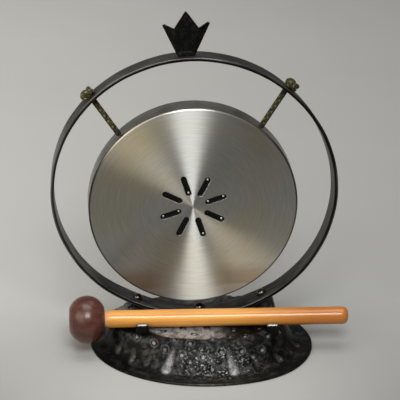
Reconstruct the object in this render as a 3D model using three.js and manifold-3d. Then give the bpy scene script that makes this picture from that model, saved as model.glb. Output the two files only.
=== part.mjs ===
// Table gong: a steel pan gong hung by two cords in an iron hoop, on a hammered base that carries its mallet.
// Millimetres, +Z up. The origin is on the table, below the middle of the whole; the gong's face looks along -Y.
import * as THREE from "three";
import { mergeVertices } from "three/addons/utils/BufferGeometryUtils.js";
import Module from "manifold-3d";

const wasm = await Module();
wasm.setup();
const { clamp, degToRad, lerp, smoothstep } = THREE.MathUtils;

// Fits
const CLEARANCE = 0.3; // gap between pieces that touch
const HOLE_PLAY = 0.6; // hole diameter over the diameter of what passes through it
const ROD_SIDES = 12; // facets round a shank, a hole or a rivet

// Base
const BASE_HALF_LENGTH = 80; // along the hoop
const BASE_HALF_WIDTH = 66;
const BASE_SHIFT = 2; // centre of the base to the right of the hoop's foot
const BASE_RIM = 9; // width of the flat rim
const BASE_SHEET = 2;
const DOME_HEIGHT = 18.7; // top of the dome above the table
const DOME_SHARE = { left: 0.93, right: 0.775, front: 0.526, back: 0.7 }; // reach of its flat top towards the rim
const SADDLE_HEIGHT = 13.4; // lowest point of the hoop's seat above the table
const SADDLE_HALF_LENGTH = 51.5;
const SADDLE_END_RUN = { left: 14, right: 5 }; // the saddle's ends fall to the dome over this length
const SADDLE_LIP = 2; // the saddle is this much wider than the strip on each side
const SADDLE_SIDE_RUN = 15; // the saddle's sides blend into the dome over this length
const SADDLE_BED = 0.4; // depth of the strip's bed in the saddle
const SADDLE_FADE = 4; // the saddle stops this far inside the rim

// Hoop
const HOOP_BACK = 18; // the strip's middle behind the centre of the base
const HOOP_RADIUS = 101.7; // outside
const HOOP_WIDTH = 14.5;
const HOOP_THICKNESS = 2.5;
const HOOP_LEAN = degToRad(2.4); // the hoop stands this much out of plumb, to the left
const HOOP_SEGMENTS = 112;

// Rivets in the hoop
const RIVET_ANGLE = degToRad(27.7); // between neighbours, round the hoop
const RIVET_SHANK = 4; // diameter
const RIVET_HEAD = 6.4; // diameter
const RIVET_HEAD_HEIGHT = 2.4;
const RIVET_TAIL = 6.4; // diameter of the upset end under the saddle
const RIVET_TAIL_HEIGHT = 1;
const RIVET_DOME_STEPS = 4; // rows of facets on a rivet's head

// Crown
const CROWN_SHEET = 1.8;
const CROWN_AHEAD = 2.8; // middle of the sheet in front of the strip's middle
const CROWN_FOOT_WIDTH = 12.2;
const CROWN_FOOT_DEPTH = 5.4;
const CROWN_FOOT_HEIGHT = 3.4;
const CROWN_HEIGHT = 32.6; // middle point above the hoop
const CROWN_SIDE_HEIGHT = 23.9; // side points above the hoop
const CROWN_WIDTH = 31.7; // over the side points
const CROWN_NOTCH_HEIGHT = 20.4;
const CROWN_NOTCH_SPACING = 17.8;
const CROWN_FOLD = 3; // the side points are folded back this far
const CROWN_RIVET_SHANK = 2.6; // diameter
const CROWN_RIVET_HEAD = 5.2; // diameter
const CROWN_RIVET_HEAD_HEIGHT = 2.2;
const CROWN_RIVET_GRIP = 2.2; // reach of the shank into the crown's foot

// Gong
const GONG_RADIUS = 75;
const GONG_DEPTH = 17;
const GONG_FACE = 1.6; // sheet thickness of the face
const GONG_WALL = 3; // sheet thickness of the rim
const GONG_EDGE = 2; // rounding between face and rim
const GONG_GAP = 11.5; // free space between the gong's lowest point and the hoop below it
const GONG_SIDE = 1.2; // the gong hangs this far left of the hoop's middle
const GONG_SEGMENTS = 80;
const SLOT_COUNT = 8;
const SLOT_PHASE = degToRad(15.5); // first slot from +X
const SLOT_INNER = 9.6;
const SLOT_OUTER = 24;
const SLOT_WIDTH = 3.6;
const SLOT_DEPTH = 1.2;

// Cords
const CORD_DIAMETER = 3.4;
const CORD_SIDES = 10;
const HOOP_HOLE_ANGLE = degToRad(43.35); // cord holes from the top of the hoop
const GONG_HOLE_ANGLE = degToRad(41.5); // cord holes from the top of the gong
const GONG_HOLE_SETBACK = 3.4; // hole behind the gong's face
const HOOP_KNOT = [4.6, 4.2, 3.9]; // half sizes: along the strip, across it, outwards
const GONG_KNOT = [4, 3.4, 3.2];
const GONG_KNOT_SHIFT = 3; // the lower knot lies this much further from the face than its hole

// Mallet
const HANDLE_DIAMETER = 12.7;
const HANDLE_LENGTH = 175.6; // from the head's face to the right end
const HANDLE_AHEAD = 28; // axis in front of the hoop's middle
const HANDLE_ROUNDING = 5; // of the right end
const HANDLE_SIDES = 24;
const NECK_DIAMETER = 9.4; // where the handle meets the head
const NECK_LENGTH = 4.5; // length of the taper
const TENON_DIAMETER = 8;
const TENON_LENGTH = 17;
const HEAD_REACH = 69.6; // the face of the head that the handle enters, left of the base's centre
const HEAD_LENGTH = 25.1;
const HEAD_DIAMETER = 34.4;
const HEAD_SIDES = 32;
const HEAD_STEPS = 10; // points along the head's section
const HEAD_SQUARENESS = 2.5; // exponent of the head's rounded section, 2 is an ellipse
const HEAD_FACE = 0.45; // radius of the head's flat ends as a share of its radius

// Pegs
const PEG_X = { left: -42.7, right: 51 };
const PEG_WIDTH = 9.5;
const PEG_DEPTH = 4;
const PEG_TOP = 24.7; // above the table
const PEG_ROUNDING = 2.6;
const PEG_SHANK = 3.4; // diameter

const paint = (color, roughness, metalness) => new THREE.MeshStandardMaterial({ color, roughness, metalness });
const ironBlack = () => paint(0x1d1d1f, 0.5, 0.85);
const cordGreen = () => paint(0x4a4420, 0.9, 0);

// Signed volume of a closed triangle mesh and the point where its mass is centred
function massProperties(geometry) {
  const position = geometry.getAttribute("position");
  const index = geometry.getIndex();
  const [a, b, c] = [new THREE.Vector3(), new THREE.Vector3(), new THREE.Vector3()];
  const centre = new THREE.Vector3();
  let volume = 0;
  for (let i = 0; i < index.count; i += 3) {
    a.fromBufferAttribute(position, index.getX(i));
    b.fromBufferAttribute(position, index.getX(i + 1));
    c.fromBufferAttribute(position, index.getX(i + 2));
    const part = a.dot(b.clone().cross(c)) / 6;
    volume += part;
    centre.addScaledVector(a.add(b).add(c), part / 4);
  }
  return { volume, centre: centre.divideScalar(volume) };
}

// Closed geometry with shared vertices and its faces pointing out
function closed(geometry) {
  const bare = geometry.clone();
  bare.deleteAttribute("normal");
  bare.deleteAttribute("uv");
  const welded = mergeVertices(bare, 1e-4);
  const kept = [];
  const corners = welded.getIndex().array;
  for (let i = 0; i < corners.length; i += 3) {
    const [p, q, r] = corners.slice(i, i + 3);
    if (p !== q && q !== r && r !== p) kept.push(p, q, r);
  }
  welded.setIndex(kept);
  if (massProperties(welded).volume < 0) {
    for (let i = 0; i < kept.length; i += 3) [kept[i], kept[i + 1]] = [kept[i + 1], kept[i]];
    welded.setIndex(kept);
  }
  return welded;
}

function toSolid(geometry) {
  const welded = closed(geometry);
  return new wasm.Manifold(new wasm.Mesh({
    numProp: 3,
    vertProperties: Float32Array.from(welded.getAttribute("position").array),
    triVerts: Uint32Array.from(welded.getIndex().array),
  }));
}

function toGeometry(solid) {
  const { numProp, vertProperties, triVerts } = solid.getMesh();
  const positions = new Float32Array((vertProperties.length / numProp) * 3);
  for (let i = 0; i < positions.length; i++) positions[i] = vertProperties[Math.floor(i / 3) * numProp + (i % 3)];
  const geometry = new THREE.BufferGeometry();
  geometry.setAttribute("position", new THREE.BufferAttribute(positions, 3));
  geometry.setIndex(Array.from(triVerts));
  return geometry;
}

const cutAway = (body, cutters) => toGeometry(cutters.reduce((s, c) => s.subtract(toSolid(c)), toSolid(body)));
const joinUp = (first, others) => toGeometry(others.reduce((s, g) => s.add(toSolid(g)), toSolid(first)));

// Body of revolution about Y from [radius, height] points; the profile ends on the axis or closes on itself
function turned(profile, segments) {
  return new THREE.LatheGeometry(profile.map(([r, y]) => new THREE.Vector2(r, y)), segments);
}

// Points of a quarter round from one direction to the next, in degrees from the profile's +radius direction
function arcPoints(centreRadius, centreHeight, radius, fromDegrees, toDegrees, steps) {
  return Array.from({ length: steps + 1 }, (_, i) => {
    const angle = degToRad(lerp(fromDegrees, toDegrees, i / steps));
    return [centreRadius + radius * Math.cos(angle), centreHeight + radius * Math.sin(angle)];
  });
}

const UP = new THREE.Vector3(0, 1, 0); // axis of every turned piece before it is placed
const outward = (angle) => new THREE.Vector3(Math.sin(angle), 0, Math.cos(angle)); // angle from the top, to the right

// Turns and moves a turned piece so that its axis runs outwards at an angle, from a distance off the centre
function alongRadius(geometry, angle, distance, centre = new THREE.Vector3()) {
  const turn = new THREE.Quaternion().setFromUnitVectors(UP, outward(angle));
  const place = outward(angle).multiplyScalar(distance).add(centre);
  return geometry.clone().applyQuaternion(turn).translate(place.x, place.y, place.z);
}

const rod = (diameter, length) => new THREE.CylinderGeometry(diameter / 2, diameter / 2, length, ROD_SIDES);

// Hoop frame: the hoop's centre, turned by its lean about the point where it stands in the saddle
const hoopCentre = new THREE.Vector3(
  -HOOP_RADIUS * Math.sin(HOOP_LEAN), HOOP_BACK, SADDLE_HEIGHT + HOOP_RADIUS * Math.cos(HOOP_LEAN));
const hoopFrame = new THREE.Group();
hoopFrame.position.copy(hoopCentre);
hoopFrame.rotation.y = -HOOP_LEAN;
hoopFrame.updateMatrix();
const inHoopFrame = (geometry) => geometry.clone().applyMatrix4(hoopFrame.matrix);

const hoopInside = HOOP_RADIUS - HOOP_THICKNESS;
const gongDrop = hoopInside - GONG_GAP - GONG_RADIUS; // gong centre below the hoop's centre
const seatRadius = HOOP_RADIUS + CLEARANCE;
const rivetGrip = HOOP_THICKNESS + BASE_SHEET + 3 * CLEARANCE; // from under the head to the tail
const rivetTailStart = hoopInside - CLEARANCE + rivetGrip;
const rivetAngles = { left: Math.PI + RIVET_ANGLE, center: Math.PI, right: Math.PI - RIVET_ANGLE };
const sides = { left: -1, right: 1 };

// Base

// Distance of a place from the centre of the base, and of the rim's outer and inner edges in its direction
function rimAt(x, y) {
  const r = Math.hypot(x - BASE_SHIFT, y);
  const share = Math.hypot((x - BASE_SHIFT) / BASE_HALF_LENGTH, y / BASE_HALF_WIDTH);
  const outer = share > 0 ? r / share : BASE_HALF_WIDTH;
  return { r, outer, inner: outer - BASE_RIM };
}

function domeHeight(x, y) {
  const { r, inner } = rimAt(x, y);
  const halfLength = (BASE_HALF_LENGTH - BASE_RIM) * (x < BASE_SHIFT ? DOME_SHARE.left : DOME_SHARE.right);
  const halfWidth = (BASE_HALF_WIDTH - BASE_RIM) * (y < 0 ? DOME_SHARE.front : DOME_SHARE.back);
  const oval = Math.hypot((x - BASE_SHIFT) / halfLength, y / halfWidth);
  const shoulder = oval > 0 ? r / oval : halfWidth; // edge of the flat top in this direction
  const rise = clamp((inner - r) / Math.max(inner - shoulder, BASE_SHEET), 0, 1);
  return BASE_SHEET + (DOME_HEIGHT - BASE_SHEET) * smoothstep(rise, 0, 1);
}

// Upper side of the base: the dome, drawn up or down to the hoop's curve along the saddle
function baseTop(x, y) {
  const { r, inner } = rimAt(x, y);
  const run = x < 0 ? SADDLE_END_RUN.left : SADDLE_END_RUN.right;
  const along = 1 - smoothstep(Math.abs(x), SADDLE_HALF_LENGTH, SADDLE_HALF_LENGTH + run);
  const flat = HOOP_WIDTH / 2 + SADDLE_LIP;
  const across = 1 - smoothstep(Math.abs(y - HOOP_BACK), flat, flat + SADDLE_SIDE_RUN);
  const within = smoothstep(inner - r, 0, SADDLE_FADE);
  const offset = clamp((x - hoopCentre.x) / seatRadius, -1, 1);
  const seat = hoopCentre.z - seatRadius * Math.sqrt(1 - offset * offset) + SADDLE_BED;
  return lerp(domeHeight(x, y), seat, along * across * within);
}

// Lower side, a sheet's thickness below the upper one measured square to the slope
function baseUnder(x, y) {
  const step = BASE_SHEET / 4;
  const slopeX = (baseTop(x + step, y) - baseTop(x - step, y)) / (2 * step);
  const slopeY = (baseTop(x, y + step) - baseTop(x, y - step)) / (2 * step);
  const { r, inner } = rimAt(x, y);
  const flank = r > inner ? 1 : Math.hypot(1, slopeX, slopeY);
  return Math.max(0, baseTop(x, y) - BASE_SHEET * flank);
}

const BASE_SECTORS = 72;
const BASE_RINGS = 20; // rings of vertices inside the flat rim

// Solid between two heights over the base's outline: rings of vertices out to the rim's inner edge, then its outer
function heightSolid(top, bottom) {
  const sectors = BASE_SECTORS;
  const vertices = [BASE_SHIFT, 0, top(BASE_SHIFT, 0), BASE_SHIFT, 0, bottom(BASE_SHIFT, 0)];
  for (let i = 0; i <= BASE_RINGS; i++) {
    for (let j = 0; j < sectors; j++) {
      const angle = (2 * Math.PI * j) / sectors;
      const { outer, inner } = rimAt(BASE_SHIFT + Math.cos(angle), Math.sin(angle));
      const r = i < BASE_RINGS ? (inner * (i + 1)) / BASE_RINGS : outer;
      const [x, y] = [BASE_SHIFT + r * Math.cos(angle), r * Math.sin(angle)];
      vertices.push(x, y, top(x, y), x, y, bottom(x, y));
    }
  }
  const at = (i, j, low) => 2 + 2 * (i * sectors + (j % sectors)) + low;
  const faces = [];
  const last = BASE_RINGS;
  for (let j = 0; j < sectors; j++) {
    faces.push(0, at(0, j, 0), at(0, j + 1, 0), 1, at(0, j + 1, 1), at(0, j, 1));
    for (let i = 0; i < last; i++) {
      faces.push(at(i, j, 0), at(i + 1, j, 0), at(i + 1, j + 1, 0), at(i, j, 0), at(i + 1, j + 1, 0), at(i, j + 1, 0));
      faces.push(at(i, j, 1), at(i + 1, j + 1, 1), at(i + 1, j, 1), at(i, j, 1), at(i, j + 1, 1), at(i + 1, j + 1, 1));
    }
    faces.push(at(last, j, 0), at(last, j, 1), at(last, j + 1, 1), at(last, j, 0), at(last, j + 1, 1), at(last, j + 1, 0));
  }
  const geometry = new THREE.BufferGeometry();
  geometry.setAttribute("position", new THREE.Float32BufferAttribute(vertices, 3));
  geometry.setIndex(faces);
  return geometry;
}

const pegY = HOOP_BACK - HANDLE_AHEAD - HANDLE_DIAMETER / 2 - CLEARANCE - PEG_DEPTH / 2;
const pegShankHole = (side) => rod(PEG_SHANK + HOLE_PLAY, 6 * BASE_SHEET)
  .rotateX(Math.PI / 2).translate(PEG_X[side], pegY, baseTop(PEG_X[side], pegY));

function makeBase() {
  const sheet = heightSolid(baseTop, baseUnder);
  const bedWidth = HOOP_WIDTH + 2 * CLEARANCE;
  const bed = inHoopFrame(turned(
    [[0, -bedWidth / 2], [seatRadius, -bedWidth / 2], [seatRadius, bedWidth / 2], [0, bedWidth / 2]], HOOP_SEGMENTS));
  const holeLength = 2 * (BASE_SHEET + SADDLE_BED + CLEARANCE + HOOP_THICKNESS);
  const rivetHoles = Object.values(rivetAngles).map((angle) =>
    inHoopFrame(alongRadius(rod(RIVET_SHANK + HOLE_PLAY, holeLength), angle, HOOP_RADIUS)));
  const spotDepth = 2 * RIVET_TAIL;
  const spotFaces = Object.values(rivetAngles).map((angle) => inHoopFrame(alongRadius(
    rod(RIVET_TAIL + HOLE_PLAY, spotDepth), angle, rivetTailStart - CLEARANCE + spotDepth / 2)));
  return cutAway(sheet, [bed, ...rivetHoles, ...spotFaces, ...Object.keys(sides).map(pegShankHole)]);
}

// Stub of flat bar with round top corners, shaped to the dome below and held by a shank through the sheet
function makePeg(side) {
  const ground = baseTop(PEG_X[side], pegY);
  const outline = new THREE.Shape();
  outline.moveTo(-PEG_WIDTH / 2, 0);
  outline.lineTo(PEG_WIDTH / 2, 0);
  outline.lineTo(PEG_WIDTH / 2, PEG_TOP - PEG_ROUNDING);
  outline.absarc(PEG_WIDTH / 2 - PEG_ROUNDING, PEG_TOP - PEG_ROUNDING, PEG_ROUNDING, 0, Math.PI / 2);
  outline.absarc(PEG_ROUNDING - PEG_WIDTH / 2, PEG_TOP - PEG_ROUNDING, PEG_ROUNDING, Math.PI / 2, Math.PI);
  const bar = new THREE.ExtrudeGeometry(outline, { depth: PEG_DEPTH, bevelEnabled: false, curveSegments: 5 })
    .rotateX(Math.PI / 2).translate(PEG_X[side], pegY + PEG_DEPTH / 2, 0);
  const dome = heightSolid((x, y) => baseTop(x, y) + CLEARANCE, () => -BASE_SHEET);
  const stub = cutAway(bar, [dome]);
  const shankLength = 3 * BASE_SHEET;
  const shank = rod(PEG_SHANK, shankLength).rotateX(Math.PI / 2)
    .translate(PEG_X[side], pegY, ground + PEG_DEPTH / 2 - shankLength / 2);
  return joinUp(stub, [shank]);
}

// Hoop with its rivets

function makeHoop() {
  const half = HOOP_WIDTH / 2;
  const strip = turned(
    [[hoopInside, -half], [HOOP_RADIUS, -half], [HOOP_RADIUS, half], [hoopInside, half], [hoopInside, -half]],
    HOOP_SEGMENTS);
  const drill = (diameter, angle, y = 0) =>
    alongRadius(rod(diameter + HOLE_PLAY, 4 * HOOP_THICKNESS), angle, HOOP_RADIUS).translate(0, y, 0);
  const holes = Object.values(rivetAngles).map((angle) => drill(RIVET_SHANK, angle));
  holes.push(drill(CORD_DIAMETER, HOOP_HOLE_ANGLE), drill(CORD_DIAMETER, -HOOP_HOLE_ANGLE));
  holes.push(drill(CROWN_RIVET_SHANK, 0, -CROWN_AHEAD));
  return cutAway(strip, holes);
}

// Rivet along +Y from the underside of its domed head, with an upset tail when it has one
function makeRivet(shank, head, headHeight, grip, tail, tailHeight) {
  const dome = Array.from({ length: RIVET_DOME_STEPS + 1 }, (_, i) => {
    const angle = (Math.PI / 2) * (i / RIVET_DOME_STEPS);
    return [(head / 2) * Math.sin(angle), -headHeight * Math.cos(angle)];
  });
  const end = tail ? [[tail / 2, grip], [tail / 2, grip + tailHeight], [0, grip + tailHeight]] : [[0, grip]];
  return turned([...dome, [shank / 2, 0], [shank / 2, grip], ...end], ROD_SIDES);
}

const makeHoopRivet = (angle) => alongRadius(
  makeRivet(RIVET_SHANK, RIVET_HEAD, RIVET_HEAD_HEIGHT, rivetGrip, RIVET_TAIL, RIVET_TAIL_HEIGHT),
  angle, hoopInside - CLEARANCE);

// Crown

const crownFloor = HOOP_RADIUS + CLEARANCE; // the foot's underside, at the hoop's highest point

// Flat sheet cut to an outline of [x, y, z] points and creased along the edges of its panels, thick along Y
function creasedSheet(outline, panels, thickness) {
  const count = outline.length;
  const half = thickness / 2;
  const vertices = [-half, half].flatMap((shift) => outline.flatMap(([x, y, z]) => [x, y + shift, z]));
  const faces = panels.flatMap(([a, b, c]) => [a, b, c, a + count, c + count, b + count]);
  for (let i = 0; i < count; i++) {
    const next = (i + 1) % count;
    faces.push(i, i + count, next, next, i + count, next + count);
  }
  const geometry = new THREE.BufferGeometry();
  geometry.setAttribute("position", new THREE.Float32BufferAttribute(vertices, 3));
  geometry.setIndex(faces);
  return geometry;
}

function makeCrown() {
  const [foot, side, notch] = [CROWN_FOOT_WIDTH / 2, CROWN_WIDTH / 2, CROWN_NOTCH_SPACING / 2];
  const outline = [
    [-foot, 0, 0], [foot, 0, 0], [side, CROWN_FOLD, CROWN_SIDE_HEIGHT], [notch, 0, CROWN_NOTCH_HEIGHT],
    [0, 0, CROWN_HEIGHT], [-notch, 0, CROWN_NOTCH_HEIGHT], [-side, CROWN_FOLD, CROWN_SIDE_HEIGHT]];
  const panels = [[4, 5, 0], [4, 0, 1], [4, 1, 3], [1, 2, 3], [0, 5, 6]];
  const sheet = creasedSheet(outline, panels, CROWN_SHEET).translate(0, -CROWN_AHEAD, crownFloor);
  const block = new THREE.BoxGeometry(CROWN_FOOT_WIDTH, CROWN_FOOT_DEPTH, CROWN_FOOT_HEIGHT)
    .translate(0, -CROWN_AHEAD, crownFloor + CROWN_FOOT_HEIGHT / 2);
  const hole = rod(CROWN_RIVET_SHANK + HOLE_PLAY, 2 * (CROWN_RIVET_GRIP + CLEARANCE))
    .rotateX(Math.PI / 2).translate(0, -CROWN_AHEAD, crownFloor);
  return cutAway(joinUp(sheet, [block]), [hole]);
}

const crownRivetGrip = HOOP_THICKNESS + 2 * CLEARANCE + CROWN_RIVET_GRIP;
const makeCrownRivet = () => alongRadius(
  makeRivet(CROWN_RIVET_SHANK, CROWN_RIVET_HEAD, CROWN_RIVET_HEAD_HEIGHT, crownRivetGrip),
  0, hoopInside - CLEARANCE).translate(0, -CROWN_AHEAD, 0);

// Gong, in its own frame: face in the plane y = 0, centre at the origin, open at the back

function makePan() {
  const inside = GONG_RADIUS - GONG_WALL;
  const edge = arcPoints(GONG_RADIUS - GONG_EDGE, GONG_EDGE, GONG_EDGE, -90, 0, 4);
  const pan = turned(
    [[0, 0], ...edge, [GONG_RADIUS, GONG_DEPTH], [inside, GONG_DEPTH], [inside, GONG_FACE], [0, GONG_FACE]],
    GONG_SEGMENTS);
  const outline = new THREE.Shape();
  const half = SLOT_WIDTH / 2;
  outline.absarc(SLOT_OUTER - half, 0, half, -Math.PI / 2, Math.PI / 2);
  outline.absarc(SLOT_INNER + half, 0, half, Math.PI / 2, 1.5 * Math.PI);
  const slot = new THREE.ExtrudeGeometry(outline, { depth: 2 * SLOT_DEPTH, bevelEnabled: false, curveSegments: 6 })
    .rotateX(Math.PI / 2).translate(0, SLOT_DEPTH, 0);
  const slots = Array.from({ length: SLOT_COUNT }, (_, i) =>
    slot.clone().rotateY(-SLOT_PHASE - (2 * Math.PI * i) / SLOT_COUNT));
  const holes = Object.values(sides).map((side) => alongRadius(
    rod(CORD_DIAMETER + HOLE_PLAY, 4 * GONG_WALL), side * GONG_HOLE_ANGLE, GONG_RADIUS - GONG_WALL / 2)
    .translate(0, GONG_HOLE_SETBACK, 0));
  return cutAway(pan, [...slots, ...holes]);
}

// Cords

const cordRadius = CORD_DIAMETER / 2;
const bendGap = CLEARANCE + cordRadius; // the free stretch turns about a point this far from the strip or rim
const hoopPivot = (side) => outward(side * HOOP_HOLE_ANGLE).multiplyScalar(hoopInside - bendGap);
const gongPivot = (side) => outward(side * GONG_HOLE_ANGLE).multiplyScalar(GONG_RADIUS + bendGap);
const gongCentre = new THREE.Vector3(-GONG_SIDE, 0, -gongDrop);

// Knot with the stretch of cord that leaves it along Y, up or down by the sign of its reach
function makeKnot(halfSizes, reach, shift) {
  const ball = new THREE.SphereGeometry(1, 12, 8).scale(halfSizes[0], halfSizes[2], halfSizes[1]).translate(0, 0, -shift);
  const stub = new THREE.CylinderGeometry(cordRadius, cordRadius, Math.abs(reach), CORD_SIDES).translate(0, reach / 2, 0);
  return joinUp(ball, [stub]);
}

function makeHoopKnot(side) {
  const centre = HOOP_RADIUS + CLEARANCE + HOOP_KNOT[2];
  return alongRadius(makeKnot(HOOP_KNOT, hoopInside - centre, 0), side * HOOP_HOLE_ANGLE, centre);
}

function makeGongKnot(side) {
  const centre = GONG_RADIUS - GONG_WALL - CLEARANCE - GONG_KNOT[2];
  const knot = makeKnot(GONG_KNOT, GONG_RADIUS - centre, GONG_KNOT_SHIFT);
  return alongRadius(knot, side * GONG_HOLE_ANGLE, centre).translate(0, GONG_HOLE_SETBACK, 0);
}

// Free stretch with round ends, from the hoop's hole to the gong's
function makeSpan(side) {
  const start = hoopPivot(side);
  const end = gongPivot(side).add(gongCentre);
  const line = end.clone().sub(start);
  const turn = new THREE.Quaternion().setFromUnitVectors(UP, line.clone().normalize());
  const middle = start.clone().lerp(end, 0.5);
  return new THREE.CapsuleGeometry(cordRadius, line.length(), 4, CORD_SIDES)
    .applyQuaternion(turn).translate(middle.x, middle.y, middle.z);
}

// Mallet, turned about Y and laid along X

const headRadius = HEAD_DIAMETER / 2;
const headFace = -HEAD_REACH;
const handleEnd = headFace + HANDLE_LENGTH;

function makeHandle() {
  const radius = HANDLE_DIAMETER / 2;
  const neckStart = headFace + CLEARANCE;
  const end = arcPoints(radius - HANDLE_ROUNDING, handleEnd - HANDLE_ROUNDING, HANDLE_ROUNDING, 0, 90, 6);
  return turned([
    [0, neckStart - TENON_LENGTH], [TENON_DIAMETER / 2, neckStart - TENON_LENGTH], [TENON_DIAMETER / 2, neckStart],
    [NECK_DIAMETER / 2, neckStart], [radius, neckStart + NECK_LENGTH], ...end, [0, handleEnd]], HANDLE_SIDES);
}

function makeHead() {
  const half = HEAD_LENGTH / 2;
  const middle = headFace - half;
  const startShare = Math.pow(1 - Math.pow(HEAD_FACE, HEAD_SQUARENESS), 1 / HEAD_SQUARENESS);
  const section = Array.from({ length: HEAD_STEPS + 1 }, (_, i) => {
    const share = Math.sin(lerp(-Math.PI / 2, Math.PI / 2, i / HEAD_STEPS)) * startShare;
    const radius = headRadius * Math.pow(1 - Math.pow(Math.abs(share), HEAD_SQUARENESS), 1 / HEAD_SQUARENESS);
    return [radius, middle + (half * share) / startShare];
  });
  const bore = TENON_DIAMETER / 2 + CLEARANCE;
  const boreEnd = headFace - TENON_LENGTH;
  return turned([[0, headFace - HEAD_LENGTH], ...section, [bore, headFace], [bore, boreEnd], [0, boreEnd]], HEAD_SIDES);
}

// Assembly

function piece(name, geometry, material) {
  const mesh = new THREE.Mesh(closed(geometry), material);
  mesh.name = name;
  return mesh;
}

const gong = new THREE.Group();
gong.add(piece("base_dome", makeBase(), ironBlack()));
for (const side of Object.keys(sides)) gong.add(piece(`mallet_peg_${side}`, makePeg(side), paint(0x55555a, 0.35, 0.9)));

hoopFrame.add(piece("ring_hoop", makeHoop(), ironBlack()));
for (const [name, angle] of Object.entries(rivetAngles)) {
  hoopFrame.add(piece(`ring_rivet_${name}`, makeHoopRivet(angle), paint(0x2c2c2f, 0.4, 0.9)));
}
hoopFrame.add(piece("crown", makeCrown(), ironBlack()));
hoopFrame.add(piece("crown_rivet", makeCrownRivet(), paint(0x2c2c2f, 0.4, 0.9)));
gong.add(hoopFrame);

// The pan hangs with its centre of mass straight under the line through its two cord holes
const pan = makePan();
const panPivot = new THREE.Vector3(0, GONG_HOLE_SETBACK, gongPivot(1).z);
const panCentre = massProperties(closed(pan)).centre;
const panFrame = new THREE.Group();
panFrame.position.set(0, 0, panPivot.z).add(gongCentre);
panFrame.rotation.x = Math.atan2(panPivot.y - panCentre.y, panPivot.z - panCentre.z);
const aboutPivot = (geometry) => geometry.translate(0, -panPivot.y, -panPivot.z);
panFrame.add(piece("gong_pan", aboutPivot(pan), paint(0x8f8d88, 0.3, 1)));
for (const [name, side] of Object.entries(sides)) {
  hoopFrame.add(piece(`ring_knot_${name}`, makeHoopKnot(side), cordGreen()));
  hoopFrame.add(piece(`cord_span_${name}`, makeSpan(side), cordGreen()));
  panFrame.add(piece(`gong_knot_${name}`, aboutPivot(makeGongKnot(side)), cordGreen()));
}
hoopFrame.add(panFrame);

const handleHeight = DOME_HEIGHT + CLEARANCE + HANDLE_DIAMETER / 2;
const mallet = new THREE.Group();
mallet.position.set(0, HOOP_BACK - HANDLE_AHEAD, handleHeight);
mallet.rotation.z = -Math.PI / 2;
mallet.add(piece("mallet_handle", makeHandle(), paint(0xb56a24, 0.35, 0)));
mallet.add(piece("mallet_head", makeHead(), paint(0x5c342b, 0.5, 0)));
gong.add(mallet);

export default gong;
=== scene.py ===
"""Table gong: a steel pan hung by two braided cords in an iron hoop, on a hammered base with its mallet.

Every shape is a surface over a grid of two parameters, in metres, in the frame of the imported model: +Z up,
the gong's face towards -Y, the origin on the table below the middle of the whole.
"""

import math

import bmesh
import bpy
import numpy as np
from bpy.props import FloatProperty, FloatVectorProperty, IntProperty, PointerProperty
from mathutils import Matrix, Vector


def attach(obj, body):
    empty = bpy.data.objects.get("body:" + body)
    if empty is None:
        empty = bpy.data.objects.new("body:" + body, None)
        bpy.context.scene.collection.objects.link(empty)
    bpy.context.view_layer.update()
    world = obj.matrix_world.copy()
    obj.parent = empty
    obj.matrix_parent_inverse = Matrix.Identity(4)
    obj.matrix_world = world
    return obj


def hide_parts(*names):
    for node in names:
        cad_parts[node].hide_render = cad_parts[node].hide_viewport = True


bl_info = {
    "name": "Table Gong",
    "version": (1, 0, 0),
    "blender": (4, 5, 0),
    "location": "View3D > Sidebar > Table Gong",
    "description": "Builds a hanging table gong with its stand and mallet, piece by piece",
    "category": "Object",
}

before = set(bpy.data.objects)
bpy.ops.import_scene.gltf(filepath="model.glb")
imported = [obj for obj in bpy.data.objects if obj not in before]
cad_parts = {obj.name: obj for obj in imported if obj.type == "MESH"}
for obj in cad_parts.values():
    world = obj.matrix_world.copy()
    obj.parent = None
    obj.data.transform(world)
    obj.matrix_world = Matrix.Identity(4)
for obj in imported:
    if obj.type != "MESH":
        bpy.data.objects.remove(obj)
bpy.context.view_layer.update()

MM = 0.001
TURN = 2 * math.pi
QUARTER = TURN / 4
TINY = 1e-9  # keeps a divisor from being zero
NEARLY = 1e-6  # less than this counts as nothing
CLEARANCE = 0.3 * MM  # gap between pieces that touch
MERGE = 0.002 * MM  # points nearer than this are one
SIDES = {"left": -1, "right": 1}


# Sizes and colours


def length(name, description, millimetres):
    """Length property, given in millimetres and held in metres."""
    return FloatProperty(
        name=name, description=description, default=millimetres * MM, min=0.0, precision=5, unit="LENGTH")


def angle(name, description, degrees):
    """Angle property, given in degrees."""
    return FloatProperty(
        name=name, description=description, default=math.radians(degrees), precision=3,
        subtype="ANGLE", unit="ROTATION")


def share(name, description, value):
    """Plain number from 0 to 1."""
    return FloatProperty(
        name=name, description=description, default=value, min=0.0, max=1.0, subtype="FACTOR")


def ratio(name, description, value):
    """Plain number from 1 upwards."""
    return FloatProperty(name=name, description=description, default=value, min=1.0)


def colour(name, description, red, green, blue):
    """Linear colour property."""
    return FloatVectorProperty(
        name=name, description=description, default=(red, green, blue), min=0.0, max=1.0, subtype="COLOR")


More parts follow.
